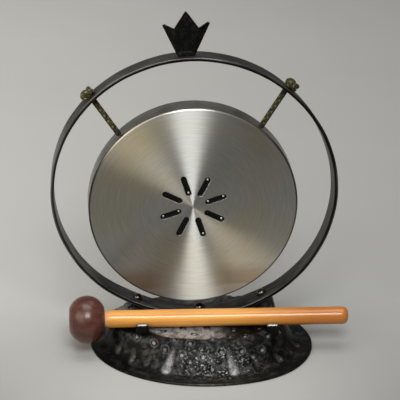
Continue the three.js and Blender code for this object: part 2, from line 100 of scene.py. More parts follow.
class BaseSizes(bpy.types.PropertyGroup):
    """Hammered base with the saddle that the hoop stands in"""

    half_length: length("Half length", "Half length of the oval rim, along the hoop", 80.5)
    half_width: length("Half width", "Half width of the oval rim", 66)
    shift: length("Shift", "Centre of the base to the right of the hoop's foot", 0.5)
    skew: share("Skew", "How far the oval bulges at the front right and the back left", 0.024)
    rim: length("Rim", "Width of the flat rim", 9)
    sheet: length("Sheet", "Thickness of the sheet", 2)
    dome_height: length("Dome height", "Top of the dome above the table", 18.7)
    dome_left: share("Dome left", "Reach of the dome's flat top towards the rim on the left", 0.92)
    dome_left_back: share("Dome left back", "The same on the left behind the hoop", 0.985)
    dome_right: share("Dome right", "Reach of the dome's flat top towards the rim on the right", 0.79)
    dome_front: share("Dome front", "Reach of the dome's flat top towards the rim at the front", 0.526)
    dome_back: share("Dome back", "Reach of the dome's flat top towards the rim at the back", 0.7)
    saddle_height: length("Saddle height", "Lowest point of the hoop's seat above the table", 13.4)
    saddle_right: length("Saddle right", "Reach of the hoop's seat to the right", 51.5)
    saddle_left: length("Saddle left", "Reach of the seat's flat part to the left", 43)
    saddle_left_run: length("Saddle left run", "Length over which its left end falls to the dome", 18)
    saddle_right_run: length("Saddle right run", "Length over which its right end falls to the dome", 5)
    saddle_fade: length("Saddle fade", "The saddle stops this far inside the rim", 4)
    saddle_lip: length("Saddle lip", "How much wider than the strip the saddle is on each side", 2)
    saddle_side_run: length("Saddle side run", "Length over which the saddle's sides blend into the dome", 15)
    saddle_bed: length("Saddle bed", "Depth of the strip's bed in the saddle", 0.4)
    punch_width: length("Punch width", "Width of a round punch mark", 5.2)
    punch_depth: length("Punch depth", "Depth of a round punch mark", 0.8)
    flute_width: length("Flute width", "Width of a hammered flute on the flank", 5.4)
    flute_depth: length("Flute depth", "Depth of a hammered flute on the flank", 0.9)
    dent_depth: length("Dent depth", "Depth of the shallow hammer dents all over", 0.28)
    dents: IntProperty(name="Dents", description="Number of shallow hammer dents", default=340, min=0)


class HoopSizes(bpy.types.PropertyGroup):
    """Iron strip hoop, its rivets and its crown"""

    back: length("Back", "The strip's middle behind the centre of the base", 18)
    radius: length("Radius", "Outside radius", 101.7)
    width: length("Width", "Width of the strip", 14.5)
    thickness: length("Thickness", "Thickness of the strip", 2.5)
    edge: length("Edge", "Rounding of the strip's edges", 0.5)
    lean: angle("Lean", "How far the hoop stands out of plumb, to the left", 2.4)
    rivet_angle: angle("Rivet angle", "Angle between neighbouring rivets, round the hoop", 27.7)
    rivet_head: length("Rivet head", "Diameter of a rivet head", 7.2)
    rivet_head_height: length("Rivet head height", "Height of a rivet head", 3.2)
    rivet_tail: length("Rivet tail", "Diameter of the upset end under the saddle", 6.4)
    rivet_tail_height: length("Rivet tail height", "Height of the upset end", 1)
    rivet_shank: length("Rivet shank", "Diameter of a rivet's shank", 4)
    crown_sheet: length("Crown sheet", "Thickness of the crown's sheet", 1.8)
    crown_ahead: length("Crown ahead", "Middle of the crown's sheet in front of the strip's middle", 1.4)
    crown_foot_width: length("Crown foot width", "Width of the crown's foot", 12.2)
    crown_foot_depth: length("Crown foot depth", "Depth of the weld round the crown's foot", 3.6)
    crown_foot_height: length("Crown foot height", "Height of the weld round the crown's foot", 3.4)
    crown_height: length("Crown height", "Middle point above the hoop", 32.6)
    crown_side_height: length("Crown side height", "Side points above the hoop", 23.3)
    crown_width: length("Crown width", "Width over the side points", 33)
    crown_notch_height: length("Crown notch height", "Notches above the hoop", 19.6)
    crown_notch_spacing: length("Crown notch spacing", "Distance between the notches", 17.2)
    crown_fold: length("Crown fold", "How far the side points are folded back", 3)
    crown_rivet_head: length("Crown rivet head", "Diameter of the crown's rivet head", 5.2)
    crown_rivet_head_height: length("Crown rivet head height", "Height of the crown's rivet head", 1.3)


class PanSizes(bpy.types.PropertyGroup):
    """Steel pan gong with eight glossy black grooves"""

    radius: length("Radius", "Outside radius", 75)
    depth: length("Depth", "Depth of the pan", 17)
    face: length("Face", "Sheet thickness of the face", 1.6)
    wall: length("Wall", "Sheet thickness of the rim", 3)
    edge: length("Edge", "Rounding between face and rim", 1.2)
    gap: length("Gap", "Free space between the gong's lowest point and the hoop below it", 11.5)
    side: length("Side", "How far left of the hoop's middle the gong hangs", 1.2)
    lean: angle("Lean", "How far the pan hangs out of plumb, its face turned up", 1.1205)
    yaw: angle("Yaw", "How far the face is turned to the right", 2.5)
    slots: IntProperty(name="Slots", description="Number of grooves in the face", default=8, min=3)
    slot_phase: angle("Slot phase", "First groove from the right", 15.5)
    slot_inner: length("Slot inner", "Inner end of a groove from the centre", 9.0)
    slot_outer: length("Slot outer", "Outer end of a groove from the centre", 24.8)
    slot_width: length("Slot width", "Width of a groove", 4.2)
    slot_depth: length("Slot depth", "Depth of a groove", 1.2)
    slot_field: length("Slot field", "Radius of the field round the grooves", 31)


class CordSizes(bpy.types.PropertyGroup):
    """Braided cords with a stopper knot at each end"""

    diameter: length("Diameter", "Thickness of the cord that the holes are made for", 3.4)
    loose: ratio("Loose", "Thickness of the free cord against the cord in its holes", 1.18)
    hoop_hole_angle: angle("Hoop hole angle", "Cord holes from the top of the hoop", 43.35)
    gong_hole_angle: angle("Gong hole angle", "Cord holes from the top of the gong", 41.5)
    gong_hole_setback: length("Gong hole setback", "Cord hole behind the gong's face", 3.4)
    gong_knot_back: length("Gong knot back", "Knot in the gong behind its hole", 3.2)
    hoop_knot: ratio("Hoop knot", "Size of the knots on the hoop against those in the gong", 1.3)
    knot_loop: length("Knot loop", "Radius of the loop that a knot is tied in", 2.0)
    knot_weave: length("Knot weave", "How far the cord weaves in and out of a knot's loop", 1.15)


class MalletSizes(bpy.types.PropertyGroup):
    """Wooden mallet and the two pegs that it lies against"""

    handle_diameter: length("Handle diameter", "Thickness of the handle", 12.7)
    handle_length: length("Handle length", "From the head's face to the right end", 175.6)
    handle_ahead: length("Handle ahead", "Handle in front of the hoop's middle", 28)
    handle_rounding: length("Handle rounding", "Rounding of the right end", 5)
    neck_diameter: length("Neck diameter", "Handle where it enters the head", 11.4)
    neck_length: length("Neck length", "Length of the taper to the neck", 3)
    head_reach: length("Head reach", "Inner face of the head, left of the base's centre", 69.6)
    head_length: length("Head length", "Length of the head", 25.1)
    head_diameter: length("Head diameter", "Thickness of the head", 34.4)
    head_face: share("Head face", "Radius of the head's flat ends as a share of its radius", 0.5)
    peg_left: length("Left peg", "Left peg, left of the base's centre", 42.7)
    peg_right: length("Right peg", "Right peg, right of the base's centre", 51)
    peg_width: length("Peg width", "Width of a peg", 9)
    peg_depth: length("Peg depth", "Depth of a peg", 4)
    peg_left_top: length("Left peg top", "Top of the left peg above the table", 25.6)
    peg_right_top: length("Right peg top", "Top of the right peg above the table", 23.9)


class Finishes(bpy.types.PropertyGroup):
    """Colours of the materials, linear"""

    iron_dark: colour("Dark iron", "Base where the black finish is whole", 0.008, 0.008, 0.0072)
    # grey of the iron's wear, also the colour of the painted highlights on the base
    iron_worn: colour("Worn iron", "Base where the hammer polished it", 0.4, 0.4, 0.41)
    hoop_dark: colour("Hoop", "Hoop strip", 0.04, 0.04, 0.038)
    # grey of the strip's streaks, also its painted highlights and the painted light at the far left
    hoop_worn: colour("Worn hoop", "Streaks along the strip", 0.32, 0.32, 0.31)
    crown_dark: colour("Crown", "Crown sheet", 0.006, 0.006, 0.006)
    rivet_dark: colour("Rivets", "Rivet heads", 0.006, 0.006, 0.006)
    peg_dark: colour("Pegs", "Sides of the pegs", 0.014, 0.014, 0.015)
    # painted highlight on the tops of the pegs
    peg_worn: colour("Worn pegs", "Tops of the pegs", 0.3, 0.3, 0.29)
    steel: colour("Steel", "Turned face of the gong", 0.59, 0.595, 0.575)
    # painted highlight on the upper edge of the face
    steel_edge_highlight: colour("Bright edge", "Upper edge of the face", 0.95, 0.92, 0.84)
    # warm patches that paint the room's warm reflections on the face
    steel_warm_reflection: colour("Warm steel", "Heat tint of the gong", 0.6, 0.525, 0.34)
    # painted reflection of the handle, low on the face
    handle_reflection: colour("Tarnish", "Brown band low on the face", 0.3, 0.21, 0.1)
    steel_rim: colour("Rim steel", "Rim and back of the gong, darkened by heat", 0.36, 0.36, 0.33)
    # bright studs that stand in for glints at the grooves' ends
    glint_stud: colour("Studs", "Studs in the grooves", 0.8, 0.8, 0.77)
    groove_black: colour("Grooves", "Paint in the grooves", 0.004, 0.004, 0.004)
    cord_olive: colour("Cord olive", "Main strands", 0.055, 0.053, 0.019)
    cord_yellow: colour("Cord yellow", "Bright strands", 0.21, 0.175, 0.07)
    # dark strands, also the painted shade between strands and at the cords' ends
    cord_black_and_shade: colour("Cord black", "Dark strands", 0.006, 0.006, 0.005)
    handle_light: colour("Handle light", "Early wood of the handle", 0.79, 0.37, 0.078)
    handle_dark: colour("Handle dark", "Late wood of the handle", 0.57, 0.225, 0.034)
    # darker colour towards the right end of the handle
    handle_right_dark: colour("Handle grip", "Right end of the handle, darkened by hands", 0.38, 0.12, 0.016)
    neck_pale: colour("Neck", "Bare wood of the neck", 0.7, 0.38, 0.2)
    head_light: colour("Head light", "Light grain of the head", 0.128, 0.044, 0.031)
    head_dark: colour("Head dark", "Dark grain of the head", 0.06, 0.018, 0.013)
    floor: colour("Floor", "Table top", 0.55, 0.55, 0.54)


class TableGong(bpy.types.PropertyGroup):
    """All sizes and colours of the table gong"""

    base: PointerProperty(type=BaseSizes)
    hoop: PointerProperty(type=HoopSizes)
    pan: PointerProperty(type=PanSizes)
    cord: PointerProperty(type=CordSizes)
    mallet: PointerProperty(type=MalletSizes)
    finish: PointerProperty(type=Finishes)


# Surfaces


def smooth(t):
    """Smooth step: 0 below 0, 1 above 1, 3t^2 - 2t^3 between."""
    t = np.clip(t, 0, 1)
    return t * t * (3 - 2 * t)


def fade(t):
    """Smooth step downwards: 1 below 0, 0 above 1."""
    return 1 - smooth(t)


def bell(t):
    """Bell curve exp(-t^2), 1 at its middle."""
    return np.exp(-(t**2))


def stack(*parts):
    """Arrays that broadcast together, stacked as the last axis."""
    return np.stack(np.broadcast_arrays(*parts), axis=-1)


def axes(points):
    """X, Y and Z of points, each as an array of its own."""
    return np.moveaxis(np.asarray(points, float), -1, 0)


def spun(u, v, turn):
    """Two coordinates after a turn from the first axis towards the second."""
    c, s = math.cos(turn), math.sin(turn)
    return u * c - v * s, u * s + v * c


def patch(points, uv, finish=0, **marks):
    """One grid of points with its UV grid, the number of its material and its own vertex values."""
    return {"points": points, "uv": uv, "finish": finish, "marks": marks}


def surface(name, patches, sharp=35):
    """Object made of grids: quads between neighbouring points, seams and poles merged, faces turned out."""
    starts = np.cumsum([0] + [p["points"].shape[0] * p["points"].shape[1] for p in patches])
    faces, finishes = [], []
    for start, p in zip(starts, patches):
        rows, columns = p["points"].shape[:2]
        index = start + np.arange(rows * columns).reshape(rows, columns)
        quads = stack(index[:-1, :-1], index[1:, :-1], index[1:, 1:], index[:-1, 1:]).reshape(-1, 4)
        faces.append(quads)
        finishes.append(np.full(len(quads), p["finish"]))
    faces = np.concatenate(faces)
    points = np.concatenate([p["points"].reshape(-1, 3) for p in patches])
    uv = np.concatenate([p["uv"].reshape(-1, 2) for p in patches])
    mesh = bpy.data.meshes.new(name)
    mesh.from_pydata(points, [], faces)
    mesh.uv_layers.new(name="UVMap").data.foreach_set("uv", uv[faces.ravel()].astype(np.float32).ravel())
    mesh.polygons.foreach_set("material_index", np.concatenate(finishes).astype(np.int32))
    for mark in patches[0]["marks"]:
        values = np.concatenate([np.ravel(p["marks"][mark]) for p in patches]).astype(np.float32)
        mesh.attributes.new(mark, "FLOAT", "POINT").data.foreach_set("value", values)
    work = bmesh.new()
    work.from_mesh(mesh)
    bmesh.ops.remove_doubles(work, verts=work.verts, dist=MERGE)
    bmesh.ops.recalc_face_normals(work, faces=work.faces)
    work.to_mesh(mesh)
    work.free()
    mesh.shade_smooth()
    mesh.set_sharp_from_angle(angle=math.radians(sharp))
    piece = bpy.data.objects.new(name, mesh)
    bpy.context.scene.collection.objects.link(piece)
    return piece


def finished(piece, body, materials, nodes):
    """Gives a piece its materials and its body, and hides the solids that it stands for."""
    for material in materials:
        piece.data.materials.append(material)
    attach(piece, body)
    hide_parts(*nodes)


def rounded(corners, roundings, steps):
    """Profile through corner points, each replaced by a parabola that starts its rounding away from it."""
    corners = np.asarray(corners, float)
    line = [corners[:1]]
    t = np.linspace(0, 1, steps + 1)[:, None]
    for before, corner, after, r in zip(corners[:-2], corners[1:-1], corners[2:], roundings):
        start = corner + (before - corner) * r / np.linalg.norm(before - corner)
        end = corner + (after - corner) * r / np.linalg.norm(after - corner)
        arc = (1 - t) ** 2 * start + 2 * t * (1 - t) * corner + t**2 * end
        line.append(arc if r > 0 else corner[None])
    line.append(corners[-1:])
    return np.concatenate(line)


def along(line):
    """Distance along a line of points, from its first."""
    return np.concatenate([[0], np.cumsum(np.linalg.norm(np.diff(line, axis=0), axis=1))])


def turned(profile, columns):
    """Profile of (radius, height) points carried round Y: x = r sin a, y = height, z = r cos a.

    UV: the turn, and the distance along the profile.
    """
    around = np.linspace(0, TURN, columns + 1)
    radius, height = np.asarray(profile, float).T[:, :, None]
    uv = stack(around / TURN, along(np.asarray(profile))[:, None])
    return stack(radius * np.sin(around), height, radius * np.cos(around)), uv


def tube(path, normal, radius, columns, relief):
    """Circle carried along a path; relief(turn, distance) is added to its radius.

    UV: the turn, and the distance along the path in girths.
    """
    tangent = np.gradient(path, axis=0)
    tangent /= np.linalg.norm(tangent, axis=1, keepdims=True)
    side = np.cross(tangent, normal)
    side /= np.linalg.norm(side, axis=1, keepdims=True)
    up = np.cross(side, tangent)
    turn = np.linspace(0, 1, columns + 1)
    uv = stack(turn, along(path)[:, None] / (TURN * np.mean(radius)))
    out = np.broadcast_to(np.asarray(radius, float).reshape(-1, 1), uv.shape[:2])
    out = out + relief(uv[..., 0], uv[..., 1])
    upwards, sideways = (wave(TURN * turn)[None, :, None] for wave in (np.cos, np.sin))
    spoke = upwards * up[:, None] + sideways * side[:, None]
    return path[:, None] + out[..., None] * spoke, uv


def squared_oval(around, width, depth, power):
    """Oval with nearly straight sides: sine and cosine of the turn, raised to a power below 1, signs kept."""
    x, y = (np.sign(wave) * np.abs(wave) ** power for wave in (np.sin(around), np.cos(around)))
    return x * width / 2, y * depth / 2


# Places


def hoop_centre(sizes):
    """Centre of the hoop, which leans about the point where it stands in the saddle."""
    lean, radius = sizes.hoop.lean, sizes.hoop.radius
    height = sizes.base.saddle_height + radius * math.cos(lean)
    return np.array([-radius * math.sin(lean), sizes.hoop.back, height])


def in_hoop(sizes, points):
    """Points of the upright hoop's own frame, leant to the left and put in place."""
    x, y, z = axes(points)
    x, z = spun(x, z, sizes.hoop.lean)
    return stack(x, y, z) + hoop_centre(sizes)


# Where the hand-bent strip is out of round: degrees clockwise from the top, half width in degrees, then
# millimetres inwards at the front edge and at the back edge
HOOP_WAVES = (
    (199, 30, 2.4, 2.4), (88, 45, -1.0, 0.0), (62, 35, 0.0, 1.5), (150, 20, 0.0, 0.7), (265, 18, -0.6, -0.6),
    (300, 20, 0.0, -0.6), (159, 9, 0.0, 1.3), (211, 15, 0.0, 1.0),
)


def hoop_bend(turn, back=0.5):
    """How far the strip is bent inwards at an angle from the top, with back 0 at its front edge and 1 behind.

    The sum of the bells in HOOP_WAVES.
    """
    bend = 0
    for middle, spread, front, rear in HOOP_WAVES:
        wave = bell((turn - math.radians(middle)) / math.radians(spread))
        bend = bend + (front + (rear - front) * back) * MM * wave
    return bend


def hoop_inside(sizes):
    """Inside radius of the hoop."""
    return sizes.hoop.radius - sizes.hoop.thickness


def bend_gap(sizes):
    """Distance from the strip or the rim to the point that a cord bends about."""
    return CLEARANCE + sizes.cord.diameter / 2


def pan_drop(sizes):
    """Centre of the gong below the hoop's centre."""
    return hoop_inside(sizes) - sizes.pan.gap - sizes.pan.radius


def hung(sizes, points):
    """Points about the gong's centre, turned to the right about the vertical, in the hoop's frame."""
    x, y, z = axes(points)
    x, y = spun(x, y, sizes.pan.yaw)
    return stack(x - sizes.pan.side, y, z - pan_drop(sizes))


def in_pan(sizes, points):
    """Points of the pan's own frame, face at y = 0, hung under the line through its two cord holes."""
    pivot = (sizes.pan.radius + bend_gap(sizes)) * math.cos(sizes.cord.gong_hole_angle)
    x, y, z = axes(points)
    y, z = spun(y - sizes.cord.gong_hole_setback, z - pivot, -sizes.pan.lean)
    return in_hoop(sizes, hung(sizes, stack(x, y, z + pivot)))


def outwards(points, turn, distance, ahead=0.0):
    """Points of a piece built along +Y, turned to point outwards at an angle from the top, at a distance."""
    x, y, z = axes(points)
    x, y = spun(x, y + distance, -turn)
    return stack(x, -z - ahead, y)


# Where the rim leaves its oval: degrees from the front to the right, half width in degrees, share added
RIM_WAVES = ((47, 22, 0.027), (108, 24, -0.018))
SADDLE_NARROWS, SADDLE_LOSES = 0.6, 0.7  # where the saddle's back left narrows, and by what share


def rim_at(base, x, y):
    """Distance of places from the centre of the base, and of the rim's outer edge in their direction.

    The rim is an oval that bulges crosswise by the skew, with the bells in RIM_WAVES added.
    """
    u = x - base.shift
    r = np.hypot(u, y)
    oval = np.maximum(np.hypot(u / base.half_length, y / base.half_width), TINY)
    bulge = 1 - 2 * base.skew * (u / base.half_length) * (y / base.half_width) / oval**2
    turn = np.degrees(np.arctan2(u, -y))
    for middle, width, height in RIM_WAVES:
        bulge = bulge + height * bell((turn - middle) / width)
    return r, np.where(r > 0, bulge * r / oval, base.half_width)


def base_top(sizes, x, y):
    """Plain upper side of the base: a dome with an oval flat top, drawn to the hoop's curve in the saddle."""
    base, hoop = sizes.base, sizes.hoop
    u = x - base.shift
    r, outer = rim_at(base, x, y)
    inner = outer - base.rim
    left = base.dome_left + (base.dome_left_back - base.dome_left) * smooth(y / hoop.back)
    half_length = (base.half_length - base.rim) * np.where(u < 0, left, base.dome_right)
    half_width = (base.half_width - base.rim) * np.where(y < 0, base.dome_front, base.dome_back)
    oval = np.hypot(u / half_length, y / half_width)
    shoulder = np.where(oval > 0, r / np.maximum(oval, TINY), half_width)
    height = base.dome_height - base.sheet
    dome = base.sheet + height * smooth((inner - r) / np.maximum(inner - shoulder, base.sheet))
    past_left = (-x - base.saddle_left) / base.saddle_left_run
    past_right = (x - base.saddle_right) / base.saddle_right_run
    lengthwise = fade(np.where(x < 0, past_left, past_right))
    narrow = smooth((-x - SADDLE_NARROWS * base.saddle_left) / base.saddle_left_run)
    narrow = SADDLE_LOSES * np.where(y > hoop.back, narrow, 0)
    flat = (hoop.width / 2 + base.saddle_lip) * (1 - narrow)
    crosswise = fade((np.abs(y - hoop.back) - flat) / base.saddle_side_run)
    within = smooth((inner - r) / base.saddle_fade)
    seat_radius = hoop.radius + CLEARANCE
    centre = hoop_centre(sizes)
    offset = np.clip((x - centre[0]) / seat_radius, -1, 1)
    bend = hoop_bend(math.pi - np.arcsin(offset) + hoop.lean)
    bend = bend * smooth((x + base.saddle_left) / base.saddle_left_run)
    seat = centre[2] - (seat_radius - bend) * np.sqrt(1 - offset**2) + base.saddle_bed
    return dome + (seat - dome) * lengthwise * crosswise * within


# Materials


class Nodes:
    """Small helper that adds and links the nodes of a material or of the world."""

    def __init__(self, owner, shader="Principled BSDF"):
        owner.use_nodes = True
        self.owner = owner
        self.tree = owner.node_tree
        self.shader = self.tree.nodes[shader]

    def add(self, kind, inputs=None, **settings):
        """New node with its settings and inputs; an input is a value or another node's output."""
        node = self.tree.nodes.new("ShaderNode" + kind)
        for key, value in settings.items():
            setattr(node, key, value)
        for key, value in (inputs or {}).items():
            self.put(node.inputs[key], value)
        return node

    def put(self, socket, value):
        """Links an output to a socket or sets its value; a colour is given as three numbers."""
        if isinstance(value, bpy.types.NodeSocket):
            self.tree.links.new(value, socket)
        else:
            socket.default_value = (*value, 1.0) if socket.type == "RGBA" else value

    def set(self, **inputs):
        """Inputs of the shader, by name with _ for a space."""
        for key, value in inputs.items():
            self.put(self.shader.inputs[key.replace("_", " ")], value)

    def maths(self, operation, *values):
        """Result of a sum or another operation on values."""
        return self.add("Math", dict(enumerate(values)), operation=operation).outputs[0]

    def times(self, first, *others):
        """Product of values."""
        for other in others:
            first = self.maths("MULTIPLY", first, other)
        return first

    def highest(self, first, *others):
        """Highest of values."""
        for other in others:
            first = self.maths("MAXIMUM", first, other)
        return first

    def split(self, vector):
        """X, Y and Z of a vector."""
        return self.add("SeparateXYZ", {0: vector}).outputs

    def mix(self, factor, first, second):
        """First colour where the factor is 0, second where it is 1."""
        node = self.add("Mix", data_type="RGBA")
        self.put(node.inputs["Factor"], factor)
        self.put(node.inputs[6], first)
        self.put(node.inputs[7], second)
        return node.outputs[2]

    def between(self, value, low, high, to_low=0.0, to_high=1.0):
        """Value mapped from low..high to to_low..to_high, clamped."""
        return self.add("MapRange", {0: value, 1: low, 2: high, 3: to_low, 4: to_high}).outputs[0]

    def coordinates(self, kind="Object", scale=(1, 1, 1)):
        """Place on the object or on its UV map, stretched."""
        place = self.add("TexCoord").outputs[kind]
        return self.add("Mapping", {"Vector": place, "Scale": scale}).outputs[0]

    def noise(self, vector, scale, detail=4.0, roughness=0.55):
        """Cloudy pattern round 0.5."""
        inputs = {"Vector": vector, "Scale": scale, "Detail": detail, "Roughness": roughness}
        return self.add("TexNoise", inputs).outputs["Fac"]

    def cells(self, vector, scale):
        """Distance from the middle of scattered cells."""
        return self.add("TexVoronoi", {"Vector": vector, "Scale": scale}).outputs["Distance"]

    def mark(self, name):
        """Value that the piece holds at each point."""
        return self.add("Attribute", attribute_name=name).outputs["Fac"]

    def bump(self, height, distance, strength, under=None):
        """Fine relief from a height, on top of another one if there is one under it."""
        inputs = {"Height": height, "Distance": distance, "Strength": strength}
        if under is not None:
            inputs["Normal"] = under
        return self.add("Bump", inputs).outputs[0]


def hammered_iron(finish):
    """Black iron: grey where its mark holds wear and painted light, silver flecks with painted sparkle where
    it says flecked, plain on the rim.
    """
    n = Nodes(bpy.data.materials.new("hammered_iron"))
    place = n.coordinates()
    inner = n.maths("SUBTRACT", 1.0, n.mark("rim"))
    grain = n.noise(place, 700, 5, 0.65)
    blotch = n.noise(place, 170, 5, 0.6)
    pits = n.cells(place, 520)
    flecks = n.times(n.between(n.noise(place, 560, 6, 0.72), 0.54, 0.64, 0.0, 0.75), n.mark("fleck"))
    # wear and painted highlights of the base, broken up by blotches and grain
    worn = n.times(
        n.mark("worn"), n.between(blotch, 0.38, 0.58, 0.35, 1.0), n.between(grain, 0.36, 0.6, 0.25, 1.0))
    mottle = n.times(n.between(blotch, 0.48, 0.64, 0.0, 0.09), inner)
    dark = n.mix(n.between(n.mark("rim"), 0.0, 1.0, 0.0, 0.6), finish.iron_dark, finish.crown_dark)
    n.set(
        Base_Color=n.mix(n.highest(worn, flecks, mottle), dark, finish.iron_worn),
        Metallic=n.between(n.mark("worn"), 0.1, 0.8, 0.92, 0.5),
        Specular_IOR_Level=0.2,
        Roughness=n.between(grain, 0.3, 0.75, 0.34, 0.58))
    pitted = n.bump(n.times(pits, inner), 0.25 * MM, 0.5)
    n.set(Normal=n.bump(grain, 0.2 * MM, 0.45, pitted))
    return n.owner


STRIP_SHADE = 0.65  # painted shade: how dark the strip's right side is


def strip_iron(finish):
    """Forge-black strip: grey streaks on its wide faces, dark narrow faces, wear and painted highlight along
    the corners.

    Painted light and shade: darker on the right, narrow faces lighter far left, streaks weak high up, strong
    far left.
    """
    n = Nodes(bpy.data.materials.new("hoop_iron"))
    streaks = n.noise(n.coordinates("UV", (55, 380, 1)), 1, 5, 0.65)
    blotches = n.noise(n.coordinates(), 45, 4)
    sideways, _, height = n.split(n.coordinates())
    painted_right_shade = n.between(sideways, -20 * MM, 80 * MM, 0.0, STRIP_SHADE)
    # painted light: the narrow faces are lighter towards the far left
    edge = n.times(n.mark("narrow"), n.between(sideways, -100 * MM, -60 * MM, 0.3, 0.95))
    dark = n.mix(n.highest(edge, painted_right_shade), finish.hoop_dark, finish.crown_dark)
    worn = n.times(
        n.between(streaks, 0.4, 0.66),
        n.between(blotches, 0.3, 0.7, 0.3, 1.0),
        # painted shade: the streaks are weaker on the right and high up
        n.between(painted_right_shade, 0.0, STRIP_SHADE, 1.0, 0.45),
        n.between(height, 150 * MM, 190 * MM, 1.0, 0.5))
    # painted light: a grey wash at the far left
    worn = n.highest(worn, n.between(sideways, -104 * MM, -94 * MM, 0.55, 0.0))
    line = n.times(
        n.mark("line"),
        n.between(blotches, 0.4, 0.6, 0.3, 1.0),
        # painted shade: the bright line fades to the right
        n.between(sideways, 20 * MM, 70 * MM, 1.0, 0.2))
    worn = n.highest(n.times(worn, n.maths("SUBTRACT", 1.0, n.mark("narrow"))), line)
    n.set(
        Base_Color=n.mix(worn, dark, finish.hoop_worn),
        Metallic=0.85,
        Roughness=n.between(streaks, 0.3, 0.7, 0.36, 0.54),
        Normal=n.bump(streaks, 0.08 * MM, 0.5))
    return n.owner


def crown_iron(finish):
    """Nearly black sheet with the scale of the forge on it."""
    n = Nodes(bpy.data.materials.new("crown_iron"))
    scale = n.noise(n.coordinates(), 420, 5, 0.6)
    n.set(
        Base_Color=n.mix(n.between(scale, 0.5, 0.8, 0.0, 0.06), finish.crown_dark, finish.hoop_worn),
        Metallic=0.7,
        Specular_IOR_Level=0.2,
        Roughness=n.between(scale, 0.3, 0.7, 0.42, 0.65),
        Normal=n.bump(scale, 0.25 * MM, 0.6))
    return n.owner


def rivet_iron(finish):
    """Glossy black heads with faint hammer marks."""
    n = Nodes(bpy.data.materials.new("rivet_iron"))
    marks = n.noise(n.coordinates(), 500, 3)
    n.set(
        Base_Color=finish.rivet_dark,
        Specular_IOR_Level=0.9,
        Roughness=n.between(marks, 0.3, 0.7, 0.08, 0.14),
        Normal=n.bump(marks, 0.1 * MM, 0.2))
    return n.owner


def peg_steel(finish):
    """Dark stub of bar with a painted highlight on its top."""
    n = Nodes(bpy.data.materials.new("peg_steel"))
    marks = n.noise(n.coordinates(), 600, 4)
    worn = n.times(n.mark("worn"), n.between(marks, 0.25, 0.6, 0.5, 1.0))
    n.set(
        Base_Color=n.mix(worn, finish.peg_dark, finish.peg_worn),
        Metallic=0.9,
        Roughness=n.between(marks, 0.3, 0.7, 0.25, 0.42),
        Normal=n.bump(marks, 0.1 * MM, 0.4))
    return n.owner


def turned_steel(finish):
    """Steel turned on a lathe: fine rings that stretch its reflections across them and faint warm patches of
    painted reflection.

    A brown band low on the face is a painted reflection of the handle; the edge mark gives painted dark, 1,
    or a painted highlight, -1.
    """
    n = Nodes(bpy.data.materials.new("gong_steel"))
    rings = n.noise(n.coordinates("UV", (1.5, 2600, 1)), 1, 4, 0.7)
    brushed = n.noise(n.coordinates("UV", (16, 1000, 1)), 1, 3, 0.7)
    # painted warm reflections, in patches
    tint = n.noise(n.coordinates(), 14, 2)
    steel = n.mix(n.between(tint, 0.4, 0.65, 0.05, 0.75), finish.steel, finish.steel_warm_reflection)
    sideways, _, height = n.split(n.coordinates())
    wander = n.times(n.noise(n.coordinates("Object", (30, 1, 120)), 1, 3), 12 * MM)
    height = n.maths("ADD", height, wander)
    # painted reflection of the handle: a brown band low on the face
    band = n.times(n.between(height, 44 * MM, 47 * MM), n.between(height, 55 * MM, 64 * MM, 1.0, 0.0))
    aside = n.between(n.maths("ABSOLUTE", n.maths("ADD", sideways, 8 * MM)), 10 * MM, 28 * MM)
    steel = n.mix(n.times(band, aside, 0.6), steel, finish.handle_reflection)
    # painted dark reflection along the rounded edge of the face
    steel = n.mix(n.between(n.mark("edge"), 0.0, 1.0, 0.0, 0.85), steel, finish.crown_dark)
    steel = n.mix(n.between(brushed, 0.35, 0.75, 0.0, 0.6), steel, finish.steel_rim)
    n.set(
        Base_Color=n.mix(n.between(n.mark("edge"), -1.0, 0.0, 1.0, 0.0), steel, finish.steel_edge_highlight),
        Metallic=1.0,
        Roughness=n.between(rings, 0.3, 0.7, 0.4, 0.46),
        Anisotropic=1.0,
        Anisotropic_Rotation=0.25,
        Tangent=n.add("Tangent", direction_type="RADIAL", axis="Y").outputs[0],
        Normal=n.bump(rings, 0.01 * MM, 0.25))
    return n.owner


RIM_PATCHES = 0.45  # the rim's darker patches against its plain steel


def rim_steel(finish):
    """Rim and back of the gong: heat-darkened steel, turned but not polished."""
    n = Nodes(bpy.data.materials.new("rim_steel"))
    rings = n.noise(n.coordinates("UV", (3, 1400, 1)), 1, 4, 0.6)
    patches = n.noise(n.coordinates(), 60, 3)
    dark = tuple(RIM_PATCHES * c for c in finish.steel_rim)
    steel = n.mix(n.between(patches, 0.3, 0.7), finish.steel_rim, dark)
    n.set(
        # painted dark reflection along the rim's side of the rounded edge
        Base_Color=n.mix(n.times(n.mark("edge"), 0.9), steel, finish.crown_dark),
        Metallic=1.0,
        Roughness=n.between(rings, 0.3, 0.7, 0.3, 0.42),
        Normal=n.bump(rings, 0.02 * MM, 0.3))
    return n.owner


def glint_stud_steel(finish):
    """Bright steel of the studs in the grooves, standing in for glints at their ends."""
    n = Nodes(bpy.data.materials.new("glint_stud_steel"))
    n.set(
        Base_Color=finish.glint_stud,
        Metallic=1.0,
        Roughness=n.between(n.noise(n.coordinates(), 900, 2), 0.3, 0.7, 0.3, 0.45))
    return n.owner


def groove_gloss_black(finish):
    """Glossy black in the grooves, slightly uneven."""
    n = Nodes(bpy.data.materials.new("groove_black"))
    flow = n.noise(n.coordinates(), 700, 2)
    n.set(
        Base_Color=finish.groove_black,
        Specular_IOR_Level=0.15,
        Roughness=n.between(flow, 0.3, 0.7, 0.12, 0.24),
        Normal=n.bump(flow, 0.1 * MM, 0.3))
    return n.owner


BRAID_STRANDS = 6  # strands that lie side by side in each direction
BRAID_PITCH = 4.8  # strand crossings in a length of one girth


